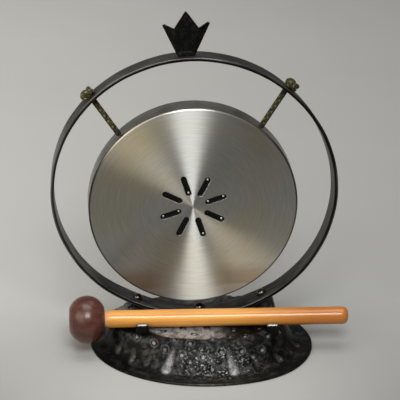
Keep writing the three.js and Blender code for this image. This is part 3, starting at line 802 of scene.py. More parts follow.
def braided_cord(finish):
    """Braid: two sets of strands wind opposite ways, over and under in turn, olive, yellow and black, with
    painted shade between them.
    """
    n = Nodes(bpy.data.materials.new("cord"))
    turn, run, _ = n.split(n.coordinates("UV"))
    turn, run = n.times(turn, BRAID_STRANDS), n.times(run, BRAID_PITCH)
    right, left = n.maths("ADD", turn, run), n.maths("SUBTRACT", turn, run)
    whole = [n.maths("FLOOR", strand) for strand in (right, left)]
    crowns = [n.maths("SINE", n.times(n.maths("FRACT", strand), math.pi)) for strand in (right, left)]
    over = n.maths("FLOORED_MODULO", n.maths("ADD", *whole), 2.0)
    height = n.maths(
        "ADD", n.times(over, crowns[0]), n.times(n.maths("SUBTRACT", 1.0, over), crowns[1]))
    bright = n.maths("COMPARE", n.maths("FLOORED_MODULO", whole[0], 2.0), 0.0, 0.1)
    black = n.maths("COMPARE", n.maths("FLOORED_MODULO", whole[1], 4.0), 0.0, 0.1)
    first = n.mix(bright, finish.cord_olive, finish.cord_yellow)
    second = n.mix(black, finish.cord_olive, finish.cord_black_and_shade)
    # painted shade: black between the strands, at the cords' ends, and over the right cord and its knot
    lit = n.times(n.between(height, 0.1, 0.7), n.between(n.mark("dim"), 0.0, 0.8, 1.0, 0.08))
    shade = n.mix(lit, finish.cord_black_and_shade, n.mix(over, second, first))
    fibres = n.noise(n.coordinates(), 2500, 3)
    n.set(
        Base_Color=n.mix(n.between(fibres, 0.35, 0.75, 0.0, 0.2), shade, finish.cord_olive),
        Roughness=0.85,
        Specular_IOR_Level=0.2,
        Sheen_Weight=0.05,
        Normal=n.bump(n.maths("ADD", height, n.times(fibres, 0.4)), 0.25 * MM, 0.8))
    return n.owner


def varnished_wood(finish):
    """Handle: straight grain under clear varnish, fine dark pores, pale at the neck, darker towards its right
    end.
    """
    n = Nodes(bpy.data.materials.new("handle_wood"))
    grain = n.noise(n.coordinates("Object", (7, 260, 260)), 1, 5, 0.6)
    pores = n.noise(n.coordinates("Object", (45, 1800, 1800)), 1, 3, 0.6)
    wood = n.mix(n.between(grain, 0.35, 0.68), finish.handle_light, finish.handle_dark)
    wood = n.mix(n.between(pores, 0.6, 0.8, 0.0, 0.45), wood, finish.handle_dark)
    sideways = n.split(n.coordinates())[0]
    wood = n.mix(n.between(sideways, 20 * MM, 80 * MM, 0.0, 0.9), wood, finish.handle_right_dark)
    n.set(
        Base_Color=n.mix(n.mark("bare"), wood, finish.neck_pale),
        Specular_IOR_Level=0.25,
        Roughness=n.between(pores, 0.3, 0.7, 0.36, 0.48),
        Coat_Weight=0.6,
        Coat_Roughness=0.14,
        Normal=n.bump(grain, 0.05 * MM, 0.3))
    return n.owner


def lacquered_wood(finish):
    """Head: dark brown lacquer over turned wood, its grain just showing."""
    n = Nodes(bpy.data.materials.new("head_wood"))
    grain = n.noise(n.coordinates("Object", (40, 160, 160)), 1, 4)
    fine = n.noise(n.coordinates("Object", (300, 1200, 1200)), 1, 3)
    brown = n.mix(n.between(grain, 0.35, 0.7), finish.head_dark, finish.head_light)
    n.set(
        Base_Color=n.mix(n.between(fine, 0.55, 0.8, 0.0, 0.5), brown, finish.head_dark),
        Roughness=n.between(fine, 0.3, 0.7, 0.25, 0.33),
        Normal=n.bump(fine, 0.05 * MM, 0.3))
    return n.owner


def pale_floor(finish):
    """Plain pale table top with a hint of mottling, and painted light: lighter to the left and to the back,
    painted shade at the front corners.
    """
    n = Nodes(bpy.data.materials.new("floor"))
    x, y, _ = n.split(n.coordinates())
    mottle = n.between(n.noise(n.coordinates(), 9, 2), 0.3, 0.7, 0.97, 1.0)
    sideways = n.between(x, -0.25, 0.25, *FLOOR_SIDEWAYS)
    depthways = n.between(y, -0.1, 0.65, *FLOOR_DEPTHWAYS)
    near = n.between(y, -0.09, 0.06, FLOOR_CORNERS, 0.0)
    corners = n.times(near, n.between(n.maths("ABSOLUTE", x), 0.06, 0.15))
    # painted light and shade over the floor
    level = n.times(sideways, depthways, mottle, n.maths("SUBTRACT", 1.0, corners))
    n.set(Base_Color=n.mix(level, (0.0, 0.0, 0.0), finish.floor), Roughness=0.8, Specular_IOR_Level=0.2)
    return n.owner


# Stage

IMAGE = 400  # picture size in pixels
FOCAL = 2131.2  # focal length in pixels
SENSOR = 36.0  # millimetres
CAMERA_TURN, CAMERA_RISE = math.radians(-2.1), math.radians(24.63)
CAMERA_DISTANCE = 1526 * MM
CAMERA_TARGET = Vector((0.14 * MM, 18 * MM, 105.6 * MM))
CAMERA_CLIP = 0.05, 30.0  # nearest and farthest that the camera sees
FLOOR_FRONT, FLOOR_BACK, FLOOR_SIDE = -0.17, 4.0, 3.0
FLOOR_SIDEWAYS = (0.965, 0.64)  # painted light: level of the floor's colour on the left and on the right
FLOOR_DEPTHWAYS = (0.83, 1.04)  # painted light: level of the floor's colour at the front and at the back
FLOOR_CORNERS = 0.28  # painted shade: how much darker the floor is at the front to both sides

# Lamps: name, place, aimed at, width, height, watts, colour
LAMPS = (
    ("key", (0.1, -1.25, 1.4), (0, 0.1, 0.05), 0.7, 0.6, 21.0, (0.97, 0.985, 1.0)),
    ("top", (0.0, 0.1, 1.8), (0, 0.1, 0), 1.4, 1.0, 17.0, (1.0, 0.99, 0.97)),
    ("left", (-1.09, -0.83, 0.85), (0, 0.1, 0.1), 1.7, 1.0, 12.5, (1.0, 0.91, 0.76)),
)
WORLD_LEFT = (0.42, 0.405, 0.365)
WORLD_RIGHT = (0.15, 0.15, 0.145)
WORLD_STRENGTH = 0.8
WORLD_TURN = -0.9, 0.7  # how far to the left and to the right the room's light changes


def back_from(turn, rise):
    """Direction from the object to a camera, by its turn to the right and its rise above the table."""
    return Vector((math.sin(turn) * math.cos(rise), -math.cos(turn) * math.cos(rise), math.sin(rise)))


class TABLEGONG_OT_stage(bpy.types.Operator):
    """Makes the camera, the lamps, the world and the pale floor"""

    bl_idname = "table_gong.stage"
    bl_label = "Stage"

    def execute(self, context):
        scene = context.scene
        scene.view_settings.view_transform = "Standard"
        lens = bpy.data.cameras.new("camera")
        lens.sensor_width = SENSOR
        lens.lens = FOCAL * SENSOR / IMAGE
        lens.clip_start, lens.clip_end = CAMERA_CLIP
        back = back_from(CAMERA_TURN, CAMERA_RISE)
        camera = bpy.data.objects.new("camera", lens)
        camera.location = CAMERA_TARGET + back * CAMERA_DISTANCE
        camera.rotation_euler = (-back).to_track_quat("-Z", "Y").to_euler()
        scene.collection.objects.link(camera)
        scene.camera = camera
        for name, place, target, width, height, watts, light in LAMPS:
            lamp = bpy.data.lights.new(name, "AREA")
            lamp.shape, lamp.size, lamp.size_y = "RECTANGLE", width, height
            lamp.energy, lamp.color = watts, light
            holder = bpy.data.objects.new(name, lamp)
            holder.location = place
            holder.rotation_euler = (Vector(target) - Vector(place)).to_track_quat("-Z", "Y").to_euler()
            scene.collection.objects.link(holder)
        self.light_world(scene)
        across, back = np.linspace(-FLOOR_SIDE, FLOOR_SIDE, 3), np.linspace(FLOOR_FRONT, FLOOR_BACK, 3)
        grid = stack(across[None, :], back[:, None], 0.0)
        floor = surface("floor", [patch(grid, grid[..., :2])])
        floor.data.materials.append(pale_floor(scene.table_gong.finish))
        return {"FINISHED"}

    @staticmethod
    def light_world(scene):
        """Soft room light, brighter and warmer from the left."""
        n = Nodes(bpy.data.worlds.new("room"), "Background")
        sideways = n.split(n.add("TexCoord").outputs["Generated"])[0]
        n.set(Color=n.mix(n.between(sideways, *WORLD_TURN), WORLD_LEFT, WORLD_RIGHT), Strength=WORLD_STRENGTH)
        scene.world = n.owner


# Cords

KNOT_SLIP = math.radians(0.5)  # the knots on the hoop have slipped clockwise from their holes
GONG_SLIP = {-1: math.radians(0.9), 1: 0.0}  # the left cord goes into the gong clockwise of its hole
CORD_SHADE = {"left": 0.0, "right": 0.3}  # painted shade: how much darker each cord and its knot on the hoop are
CORD_TWIST = 0.5  # share of the gong's turn that the cords' lower ends follow
CORD_DARK = 1.7  # reach of the painted shade at a cord's ends, in its thickness
KNOT_CORD = 0.43  # radius of the cord in a knot, in its thickness
KNOT_DEPTH = 0.95  # how far a knot weaves along its axis against how far it weaves out
KNOT_WINDS, KNOT_WEAVES = 2, 3  # times that a knot winds round its ring, and weaves in and out of it
HOOP_KNOT_TURN, GONG_KNOT_TURN = 0.7, 1.9  # turn of the right knots about their axes, reversed on the left
BRAID_HEIGHT, BRAID_LEVEL = 0.035, 0.7  # height of the strands in the cord's thickness, and their level


def braid_relief(diameter):
    """Height of the braid's strands: the higher of two sets of half waves that wind opposite ways."""

    def relief(turn, run):
        right = np.sin(math.pi * np.mod(BRAID_STRANDS * turn + BRAID_PITCH * run, 1))
        left = np.sin(math.pi * np.mod(BRAID_STRANDS * turn - BRAID_PITCH * run, 1))
        return BRAID_HEIGHT * diameter * (np.maximum(right, left) - BRAID_LEVEL)

    return relief


def gong_turn(cord, side):
    """Angle from the top of the gong at which a cord goes into it."""
    return side * cord.gong_hole_angle + GONG_SLIP[side]


def cord_ends(sizes, side):
    """Points that a cord bends about, at the hoop and at the gong, in the hoop's frame."""
    gap = bend_gap(sizes)
    turns = side * sizes.cord.hoop_hole_angle, gong_turn(sizes.cord, side)
    upper, lower = (np.array([math.sin(turn), 0, math.cos(turn)]) for turn in turns)
    end = hung(sizes, lower * (sizes.pan.radius + gap)) * [1, CORD_TWIST, 1]
    return upper * (hoop_inside(sizes) - gap), end


def knot_cord(cord, size):
    """Radius of the cord in a knot of that size."""
    return KNOT_CORD * cord.diameter * math.sqrt(size)


def knot_height(cord, size):
    """Half the height of a knot: how far it weaves along its axis, and its cord."""
    return KNOT_DEPTH * (size * cord.knot_weave) + knot_cord(cord, size)


def knot_patches(cord, turn, stub, size):
    """Overhand knot: a cord that winds round a ring while it weaves in and out, and its straight stub."""
    relief = braid_relief(cord.diameter)
    ring, weave = size * cord.knot_loop, size * cord.knot_weave
    t = np.linspace(0, TURN, 181) + turn
    swing, wind = KNOT_WEAVES * (t - turn), KNOT_WINDS * t
    reach = ring + weave * np.cos(swing)
    path = stack(reach * np.cos(wind), KNOT_DEPTH * weave * np.sin(swing), reach * np.sin(wind))
    inner = stack(np.cos(swing) * np.cos(wind), np.sin(swing), np.cos(swing) * np.sin(wind))
    knot = tube(path, inner, knot_cord(cord, size), 20, relief)
    line = np.linspace((0, 0, 0), (0, stub, 0), 24)
    neck = tube(line, np.broadcast_to((0.0, 0.0, 1.0), line.shape), cord.diameter / 2, 28, relief)
    return [patch(points, uv, dim=0 * uv[..., 0]) for points, uv in (knot, neck)]


class TABLEGONG_OT_cords(bpy.types.Operator):
    """Makes the two braided cords and the stopper knots on the hoop and inside the gong"""

    bl_idname = "table_gong.cords"
    bl_label = "Cords"

    def execute(self, context):
        sizes = context.scene.table_gong
        cord = sizes.cord
        braid = braided_cord(sizes.finish)
        for name, side in SIDES.items():
            knots = self.knots(sizes, name, side, braid)
            start, end = cord_ends(sizes, side)
            direction = (end - start) / np.linalg.norm(end - start)
            tip = 0.5 * cord.diameter * direction
            path = in_hoop(sizes, np.linspace(start - tip, end + tip, 120))
            from_end = np.minimum(along(path), along(path)[::-1])
            ball = np.clip(1 - 2 * from_end / cord.diameter, 0, 1)
            radius = 0.5 * cord.loose * cord.diameter * np.sqrt(np.maximum(1 - ball**2, NEARLY))
            normal = np.broadcast_to((0.0, 1.0, 0.0), path.shape)
            points, uv = tube(path, normal, radius, 40, braid_relief(cord.diameter))
            dim = bell(from_end / (CORD_DARK * cord.diameter))[:, None] + 0 * uv[..., 0]
            dim = np.maximum(dim, CORD_SHADE[name])
            span = surface(f"cord_{name}", [patch(points, uv, dim=dim)], sharp=60)
            finished(span, "cords", [braid], [f"cord_span_{name}"])
            along(path)[-1]
        return {"FINISHED"}

    @staticmethod
    def knots(sizes, name, side, braid):
        """Knot on the hoop, its stub through the strip, and knot in the gong, its stub through the rim."""
        cord, pan = sizes.cord, sizes.pan
        turn = side * cord.hoop_hole_angle + KNOT_SLIP
        place = sizes.hoop.radius + knot_height(cord, cord.hoop_knot) - hoop_bend(turn % TURN)
        upper = knot_patches(cord, side * HOOP_KNOT_TURN, hoop_inside(sizes) - place, cord.hoop_knot)
        for p in upper:
            p["points"] = in_hoop(sizes, outwards(p["points"], turn, place))
            p["marks"]["dim"] = p["marks"]["dim"] + CORD_SHADE[name]
        place = pan.radius - pan.wall - CLEARANCE - knot_height(cord, 1)
        lower = knot_patches(cord, side * GONG_KNOT_TURN, pan.radius - place, 1)
        for p, back in zip(lower, (cord.gong_knot_back, 0)):
            points = outwards(p["points"], gong_turn(cord, side), place, -cord.gong_hole_setback - back)
            p["points"] = in_pan(sizes, points)
        made = [surface(f"knot_hoop_{name}", upper, sharp=60), surface(f"knot_gong_{name}", lower, sharp=60)]
        finished(made[0], "stand", [braid], [f"ring_knot_{name}"])
        finished(made[1], "gong", [braid], [f"gong_knot_{name}"])
        return made


# Base

# Round punch marks in uneven rows: share of the base's half size, then degrees from the front to the right
PUNCH_ROWS = (
    (0.2, (3.6,)),
    (0.28, (-46,)),
    (0.355, (-17, 45)),
    (0.455, (-56, 7, 28)),
    (0.525, (-33, -16, 41, 66)),
    (0.61, (12, -74)),
    (0.645, (-46, -35, -20, -3, 28.5, 58)),
    (0.7, (-61, 44.5, 72)),
)
# Hammered flutes on the flank: degrees from the front to the right, inner and outer end as shares, painted
# highlight
FLUTES = (
    (-82, 0.8, 0.89, 0.3), (-67.5, 0.765, 0.866, 0.45), (-53.5, 0.755, 0.843, 0.4), (-42, 0.7, 0.816, 0.3),
    (-27, 0.6, 0.83, 1.2), (-17, 0.665, 0.768, 0.15), (-4, 0.677, 0.786, 0.1), (3.2, 0.678, 0.787, 0.15),
    (11, 0.67, 0.755, 0.4), (16.7, 0.6, 0.845, 1.2), (33, 0.68, 0.82, 0.12), (51, 0.738, 0.863, 0.5),
    (64, 0.77, 0.86, 0.25), (78.6, 0.778, 0.867, 0.55),
)
RELIEF_SHIFT = 3 * MM  # the hammer work is centred this far to the right
GOLDEN_TURN = math.pi * (3 - math.sqrt(5))
DENT_REACH = 0.86  # share of the half size that the dents cover
DENT_WIDTH, DENT_VARY, DENT_STEP = 3.2, 1.8, 7.3  # half width in millimetres, how it varies and in what step
PLAIN_BACK = 36  # degrees to both sides of the back that have no punch marks
PUNCH_SHORT = 0.45  # how much shorter punch marks are on the flank
RING_HEIGHT, RING_SHADE = 0.22, 0.9  # raised ring of a punch mark against its depth, and how dark the painted shade on its side is
FLUTE_SHAPE = 0.6, 0.55  # a flute's inner width against its full one, and how much it widens outwards
FLUTE_SPREAD = 0.6  # how much wider a bright flute is
# Painted highlight on the shoulder, a grey belt: outer limit in shares, how much further out it lies on the
# left, strength, then its middle and half width in degrees from the front
BELT_LIMIT, BELT_LEFT, BELT_LEVEL, BELT_TURN, BELT_SPREAD = 0.42, 0.1, 1.6, -25, 80
BELT_RIGHT, BELT_RUN, BELT_LOSS = 6 * MM, 18 * MM, 0.85  # it loses this share over this run to the right
SPOT_X, SPOT_Y, SPOT_LENGTH, SPOT_WIDTH = -58 * MM, 20 * MM, 12 * MM, 18 * MM  # painted lit spot at the left end
BACK_LEVEL, BACK_RUN = 0.3, 8 * MM  # painted light: the base behind the hoop is a little lighter
FLECK_INNER, FLECK_OUTER, FLECK_TURN, FLECK_SPREAD = 0.52, 0.9, 6, 27  # flecked part of the front flank, silver flecks with painted sparkle


def painted_light_patches(sizes, x, y, out, turn):
    """How grey the painted light is: a highlight in a belt on the front of the shoulder, a lit spot at the
    left, the back.
    """
    limit = BELT_LIMIT + BELT_LEFT * smooth(-(turn + 10) / 50)
    belt = smooth((out - 0.1) / 0.1) * fade((out - limit) / 0.06)
    belt = BELT_LEVEL * belt * bell((turn - BELT_TURN) / BELT_SPREAD)
    belt = belt * (1 - BELT_LOSS * smooth((x - BELT_RIGHT) / BELT_RUN))
    spot = bell(np.hypot((x - SPOT_X) / SPOT_LENGTH, (y - SPOT_Y) / SPOT_WIDTH))
    back = BACK_LEVEL * smooth((y - sizes.hoop.back - sizes.hoop.width / 2) / BACK_RUN)
    return np.maximum(np.maximum(belt, spot), back)


def punch_away(base, x, y, row, turn):
    """Distance from the middle of a punch mark, in its half width."""
    cx = RELIEF_SHIFT + row * base.half_length * math.sin(turn)
    cy = -row * base.half_width * math.cos(turn)
    short = 1 + PUNCH_SHORT * smooth((row - 0.4) / 0.15)
    lengthways = (x - cx) * math.sin(turn) - (y - cy) * math.cos(turn)
    sideways = (x - cx) * math.cos(turn) + (y - cy) * math.sin(turn)
    return np.hypot(short * lengthways, sideways) / (base.punch_width / 2)


def flute_away(base, x, y, turn, start, end, shine):
    """Distance from a flute's line, in its half width there, and how far outwards along the flute it is."""
    inner, widening = FLUTE_SHAPE
    unit = np.array([base.half_length * math.sin(turn), -base.half_width * math.cos(turn)])
    reach = np.linalg.norm(unit)
    run = reach * (end - start)
    cx, cy = unit * (start + end) / 2
    u, v = x - RELIEF_SHIFT - cx, y - cy
    lengthways, sideways = (u * unit[0] + v * unit[1]) / reach, (u * unit[1] - v * unit[0]) / reach
    outer = smooth(lengthways / run + 0.5)
    half = base.flute_width / 2 * (inner + widening * outer) * (1 + FLUTE_SPREAD * shine)
    past = np.maximum(np.abs(lengthways) - run / 2 + base.flute_width / 2, 0)
    return np.hypot(past, sideways) / half, outer


def base_relief(sizes, x, y):
    """Depth of the hammer work below the plain base, how much wear and painted light each place has and how
    flecked.

    Dents are bells, punch marks cups with a raised ring and painted shade on their side, flutes troughs that
    widen outwards with a painted highlight. The middle of the front flank is flecked, partly with painted
    sparkle.
    """
    base = sizes.base
    across, ahead = (x - RELIEF_SHIFT) / base.half_length, -y / base.half_width
    out, turn = np.hypot(across, ahead), np.degrees(np.arctan2(across, ahead))
    worn = painted_light_patches(sizes, x, y, out, turn)
    fleck = smooth((out - FLECK_INNER) / 0.12) * fade((out - FLECK_OUTER) / 0.04)
    fleck = fleck * bell((turn - FLECK_TURN) / FLECK_SPREAD)
    depth, punch_painted_shade = np.zeros_like(x), np.zeros_like(x)
    for i in range(base.dents):
        place = DENT_REACH * math.sqrt((i + 0.5) / base.dents)
        cx = RELIEF_SHIFT + base.half_length * place * math.sin(i * GOLDEN_TURN)
        cy = base.half_width * place * math.cos(i * GOLDEN_TURN)
        width = (DENT_WIDTH + DENT_VARY * math.sin(DENT_STEP * i)) * MM
        depth += base.dent_depth * np.exp(-((x - cx) ** 2 + (y - cy) ** 2) / width**2)
    for half_turn in (0, math.pi):
        for row, degrees in PUNCH_ROWS:
            for degree in degrees:
                if half_turn and abs(degree) < PLAIN_BACK:
                    continue
                # cup, raised ring, painted shade on its side, wear and painted highlight on its bottom and
                # ring, by half widths from the middle
                away = punch_away(base, x, y, row, math.radians(degree) + half_turn)
                ring = bell((away - 1.15) / 0.22)
                depth += base.punch_depth * (fade((away - 0.55) / 0.45) - RING_HEIGHT * ring)
                punch_painted_shade = np.maximum(punch_painted_shade, bell((away - 0.8) / 0.25))
                worn = np.maximum(worn, np.maximum(0.8 * fade((away - 0.4) / 0.25), 0.3 * ring))
        for degree, start, end, shine in FLUTES:
            away, outer = flute_away(base, x, y, math.radians(degree) + half_turn, start, end, shine)
            depth += base.flute_depth * fade((away - 0.25) / 0.75)
            worn = np.maximum(worn, shine * (0.15 + 0.85 * outer) * fade((away - 0.1) / 0.9))
    return depth, worn * (1 - RING_SHADE * punch_painted_shade), fleck


BASE_COLUMNS, DOME_ROWS, RIM_ROWS, UNDER_ROWS = 480, 135, 8, 25
UNDER_REACH = 0.86  # share of the underside that lies inside the flat rim
RIM_INSET, RIM_SHARP = 0.4 * MM, 0.35 * MM  # rounding of the rim's edge, inwards and downwards
RIM_PLAIN, RIM_FADE = 0.4, 3 * MM  # outer share of the rim without hammer work, and the fade inside it
BED_LIP, BED_RUN, BED_END = 0.6 * MM, 2.5 * MM, 2 * MM  # past the strip's sides, fade, past its ends
RIM_HIGHLIGHT, RIM_HIGHLIGHT_TURN = 0.3, 0.4  # strength of the painted highlight on the rim's front edge, and the half width of that in radians


class TABLEGONG_OT_base(bpy.types.Operator):
    """Makes the hammered base"""

    bl_idname = "table_gong.base"
    bl_label = "Base"

    def execute(self, context):
        sizes = context.scene.table_gong
        base, hoop = sizes.base, sizes.hoop
        turn = np.linspace(0, TURN, BASE_COLUMNS + 1)

        def places(radii):
            """X and Y at distances from the centre of the base, at each turn from the front."""
            return base.shift + radii * np.sin(turn), -radii * np.cos(turn)

        outer = rim_at(base, *places(1.0))[1]
        dome = np.concatenate([np.linspace(0, 1, DOME_ROWS + 1), np.ones(RIM_ROWS)])[:, None]
        flat = np.concatenate([np.zeros(DOME_ROWS), np.linspace(0, 1, RIM_ROWS + 1)])[:, None]
        radii = dome * (outer - base.rim) + flat * (base.rim - RIM_INSET)
        x, y = places(radii)
        depth, worn, fleck = base_relief(sizes, x, y)
        plain = smooth((radii - outer + RIM_PLAIN * base.rim) / RIM_FADE)
        bed = fade((np.abs(y - hoop.back) - hoop.width / 2 - BED_LIP) / BED_RUN)
        bed = bed * (x > -base.saddle_left - BED_END) * (x < base.saddle_right + BED_END)
        hold = (1 - plain) * (1 - bed)
        top = base_top(sizes, x, y) - bed * base.saddle_bed - depth * hold
        under = np.concatenate([[1 - RIM_INSET / base.half_width], np.linspace(UNDER_REACH, 0, UNDER_ROWS)])
        ux, uy = places(under[:, None] * outer)
        lower = np.maximum(base_top(sizes, ux, uy) - base.sheet, 0)
        edges = [stack(*places(outer), z)[None] for z in (base.sheet - RIM_SHARP, RIM_SHARP)]
        points = np.concatenate([stack(x, y, top), *edges, stack(ux, uy, lower)])
        none = np.zeros((len(points) - len(radii), len(turn)))
        marks = {"worn": worn * hold, "fleck": fleck * (1 - plain), "rim": plain}
        marks = {name: np.concatenate([values, none]) for name, values in marks.items()}
        front = np.mod(turn + math.pi, TURN) - math.pi
        # painted highlight where the front of the rim's edge catches the light
        marks["worn"][len(radii):len(radii) + 2] = RIM_HIGHLIGHT * bell(front / RIM_HIGHLIGHT_TURN)
        piece = surface("base", [patch(points, points[..., :2], **marks)], sharp=50)
        finished(piece, "stand", [hammered_iron(sizes.finish)], ["base_dome"])
        return {"FINISHED"}


PEG_POWER = 1 / 3  # makes the section of a peg a rounded rectangle
PEG_SUNK = 1.5 * MM  # how far a peg goes into the base
PEG_ARCH = 2.4 * MM  # height of a peg's rounded top
PEG_ROUND = 0.6  # power that makes the top fuller than a half circle
PEG_RIDGE = 0.38  # share of a peg's width that its ridge keeps
PEG_HIGHLIGHT, PEG_HIGHLIGHT_RUN = 1.3 * MM, 1.1 * MM  # the painted highlight starts this far below the top and grows over this run


class TABLEGONG_OT_pegs(bpy.types.Operator):
    """Makes the two pegs that keep the mallet from rolling off"""

    bl_idname = "table_gong.pegs"
    bl_label = "Pegs"

    def execute(self, context):
        sizes = context.scene.table_gong
        mallet = sizes.mallet
        steel = peg_steel(sizes.finish)
        handle_front = sizes.hoop.back - mallet.handle_ahead - mallet.handle_diameter / 2
        y = handle_front - CLEARANCE - mallet.peg_depth / 2
        wide, deep = squared_oval(np.linspace(0, TURN, 65), mallet.peg_width, mallet.peg_depth, PEG_POWER)
        arch = np.linspace(0, QUARTER, 12)[1:]
        inset = np.concatenate([np.ones(9), np.cos(arch) ** PEG_ROUND])
        ridge = 1 - (1 - inset) * (1 - PEG_RIDGE) - (inset < NEARLY) * PEG_RIDGE
        places = {
            "left": (-mallet.peg_left, mallet.peg_left_top),
            "right": (mallet.peg_right, mallet.peg_right_top)}
        for name, (x, top) in places.items():
            ground = float(base_top(sizes, np.array(x), np.array(y))) - PEG_SUNK
            sides = np.linspace(ground, top - PEG_ARCH, 9)
            rise = np.concatenate([sides, top - PEG_ARCH * (1 - np.sin(arch))])
            points = stack(x + ridge[:, None] * wide, y - inset[:, None] * deep, rise[:, None])
            bottom = stack(x + 0 * wide, y + 0 * deep, ground)[None]
            points = np.concatenate([bottom, points])
            # painted highlight on the peg's top
            worn = smooth((points[..., 2] - top + PEG_HIGHLIGHT) / PEG_HIGHLIGHT_RUN)
            piece = surface(f"peg_{name}", [patch(points, points[..., ::2], worn=worn)], sharp=50)
            finished(piece, "stand", [steel], [f"mallet_peg_{name}"])
        return {"FINISHED"}


# Hoop

STRIP_BORDER = 1 * MM  # width of the strip's borders beside its corners
STRIP_WAVER = 0.08 * MM  # how uneven the strip is
STRIP_LINE = 0.8  # reach of the bright line of wear and painted highlight from the corners, in their rounding
ON_FACE = 0.05 * MM  # points nearer than this lie on a face


class TABLEGONG_OT_hoop(bpy.types.Operator):
    """Makes the iron hoop"""

    bl_idname = "table_gong.hoop"
    bl_label = "Hoop"

    def execute(self, context):
        sizes = context.scene.table_gong
        hoop = sizes.hoop
        half, inside, middle = hoop.width / 2, hoop_inside(sizes), hoop.radius - hoop.thickness / 2
        near, edge = half - STRIP_BORDER, hoop.edge
        corners = [
            (inside, 0), (inside, -near), (inside, -half), (middle, -half), (hoop.radius, -half),
            (hoop.radius, -near), (hoop.radius, near),
            (hoop.radius, half), (middle, half), (inside, half), (inside, near), (inside, 0)]
        profile = rounded(corners, [0, edge, 0, edge, 0, 0, edge, 0, edge, 0], 4)
        points, uv = turned(profile, 288)
        turn = uv[..., 0] * TURN
        waver = np.sin(5 * turn + 0.6) + 0.7 * np.sin(11 * turn + 2) + 0.5 * np.sin(23 * turn)
        radius, depth = profile.T
        back = (0.5 + depth / hoop.width)[:, None]
        grow = 1 + (STRIP_WAVER * waver - hoop_bend(turn, back)) / middle
        points = points * stack(grow, 1, grow)
        uv = uv * [TURN * middle, 1]
        front = np.abs(depth) > half - ON_FACE
        narrow = front & (radius < middle + 2 * ON_FACE)
        from_side = np.minimum(np.abs(radius - inside), np.abs(radius - hoop.radius))
        line = (np.abs(np.abs(depth) - half) + from_side < STRIP_LINE * edge) & ~front
        marks = {"narrow": narrow[:, None] + 0 * turn, "line": line[:, None] + 0 * turn}
        piece = surface("hoop", [patch(in_hoop(sizes, points), uv, **marks)], sharp=50)
        finished(piece, "stand", [strip_iron(sizes.finish)], ["ring_hoop"])
        return {"FINISHED"}


CENTRE_RIVET_SIZE = 1.2  # the centre rivet's head against the others
CENTRE_RIVET_BACK = 3.6 * MM  # the centre rivet sits behind the strip's middle
CROWN_RIVET_SHANK, CROWN_RIVET_TAIL = 2.6 * MM, 2 * MM  # diameter of its shank, and its end past the strip
CROWN_SLIP = 0.9 * MM  # the crown's foot sits left of the middle of its points


def rivet_patch(head, head_height, shank, grip, tail, tail_height):
    """Rivet along +Y from the underside of its domed head: a flattened ball, the shank and the upset end."""
    a = np.linspace(0, QUARTER, 14)
    dome = np.stack([head / 2 * np.sin(a), -head_height * np.cos(a)], axis=-1)
    foot = grip + tail_height
    end = [(shank / 2, 0), (shank / 2, grip), (tail / 2, grip), (tail / 2, foot), (0, foot)]
    return patch(*turned(np.concatenate([dome, end]), 40))


class TABLEGONG_OT_rivets(bpy.types.Operator):
    """Makes the three rivets of the hoop and the one under the crown"""

    bl_idname = "table_gong.rivets"
    bl_label = "Rivets"

    def execute(self, context):
        sizes = context.scene.table_gong
        hoop = sizes.hoop
        iron = rivet_iron(sizes.finish)
        start = hoop_inside(sizes) - CLEARANCE

        def driven(name, node, rivet, turn, distance, ahead):
            """Puts a rivet through the strip at an angle from the top."""
            rivet["points"] = in_hoop(sizes, outwards(rivet["points"], turn, distance, ahead))
            finished(surface(name, [rivet], sharp=40), "stand", [iron], [node])

        grip = hoop.thickness + sizes.base.sheet + 3 * CLEARANCE
        for name, side in {"left": 1, "center": 0, "right": -1}.items():
            size, ahead = (1, 0) if side else (CENTRE_RIVET_SIZE, -CENTRE_RIVET_BACK)
            turn = math.pi + side * hoop.rivet_angle
            rivet = rivet_patch(
                size * hoop.rivet_head, hoop.rivet_head_height, hoop.rivet_shank, grip,
                hoop.rivet_tail, hoop.rivet_tail_height)
            driven(f"rivet_{name}", f"ring_rivet_{name}", rivet, turn, start - hoop_bend(turn), ahead)
        rivet = rivet_patch(
            hoop.crown_rivet_head, hoop.crown_rivet_head_height, CROWN_RIVET_SHANK,
            hoop.thickness + 2 * CLEARANCE, CROWN_RIVET_SHANK, CROWN_RIVET_TAIL)
        driven("rivet_crown", "crown_rivet", rivet, -CROWN_SLIP / hoop.radius, start, hoop.crown_ahead)
        return {"FINISHED"}


SIDE_BLUNT, MIDDLE_BLUNT = 1.6 * MM, 0.5 * MM  # how much the crown's points are blunted
CROWN_WAVER = 0.25 * MM  # how uneven the crown's sheet is
CROWN_BEVEL = 0.3 * MM
WELD_POWER, WELD_ROUND, WELD_SWELL = 2 / 5, 0.45, 0.03  # squareness, fullness and unevenness of the weld bead


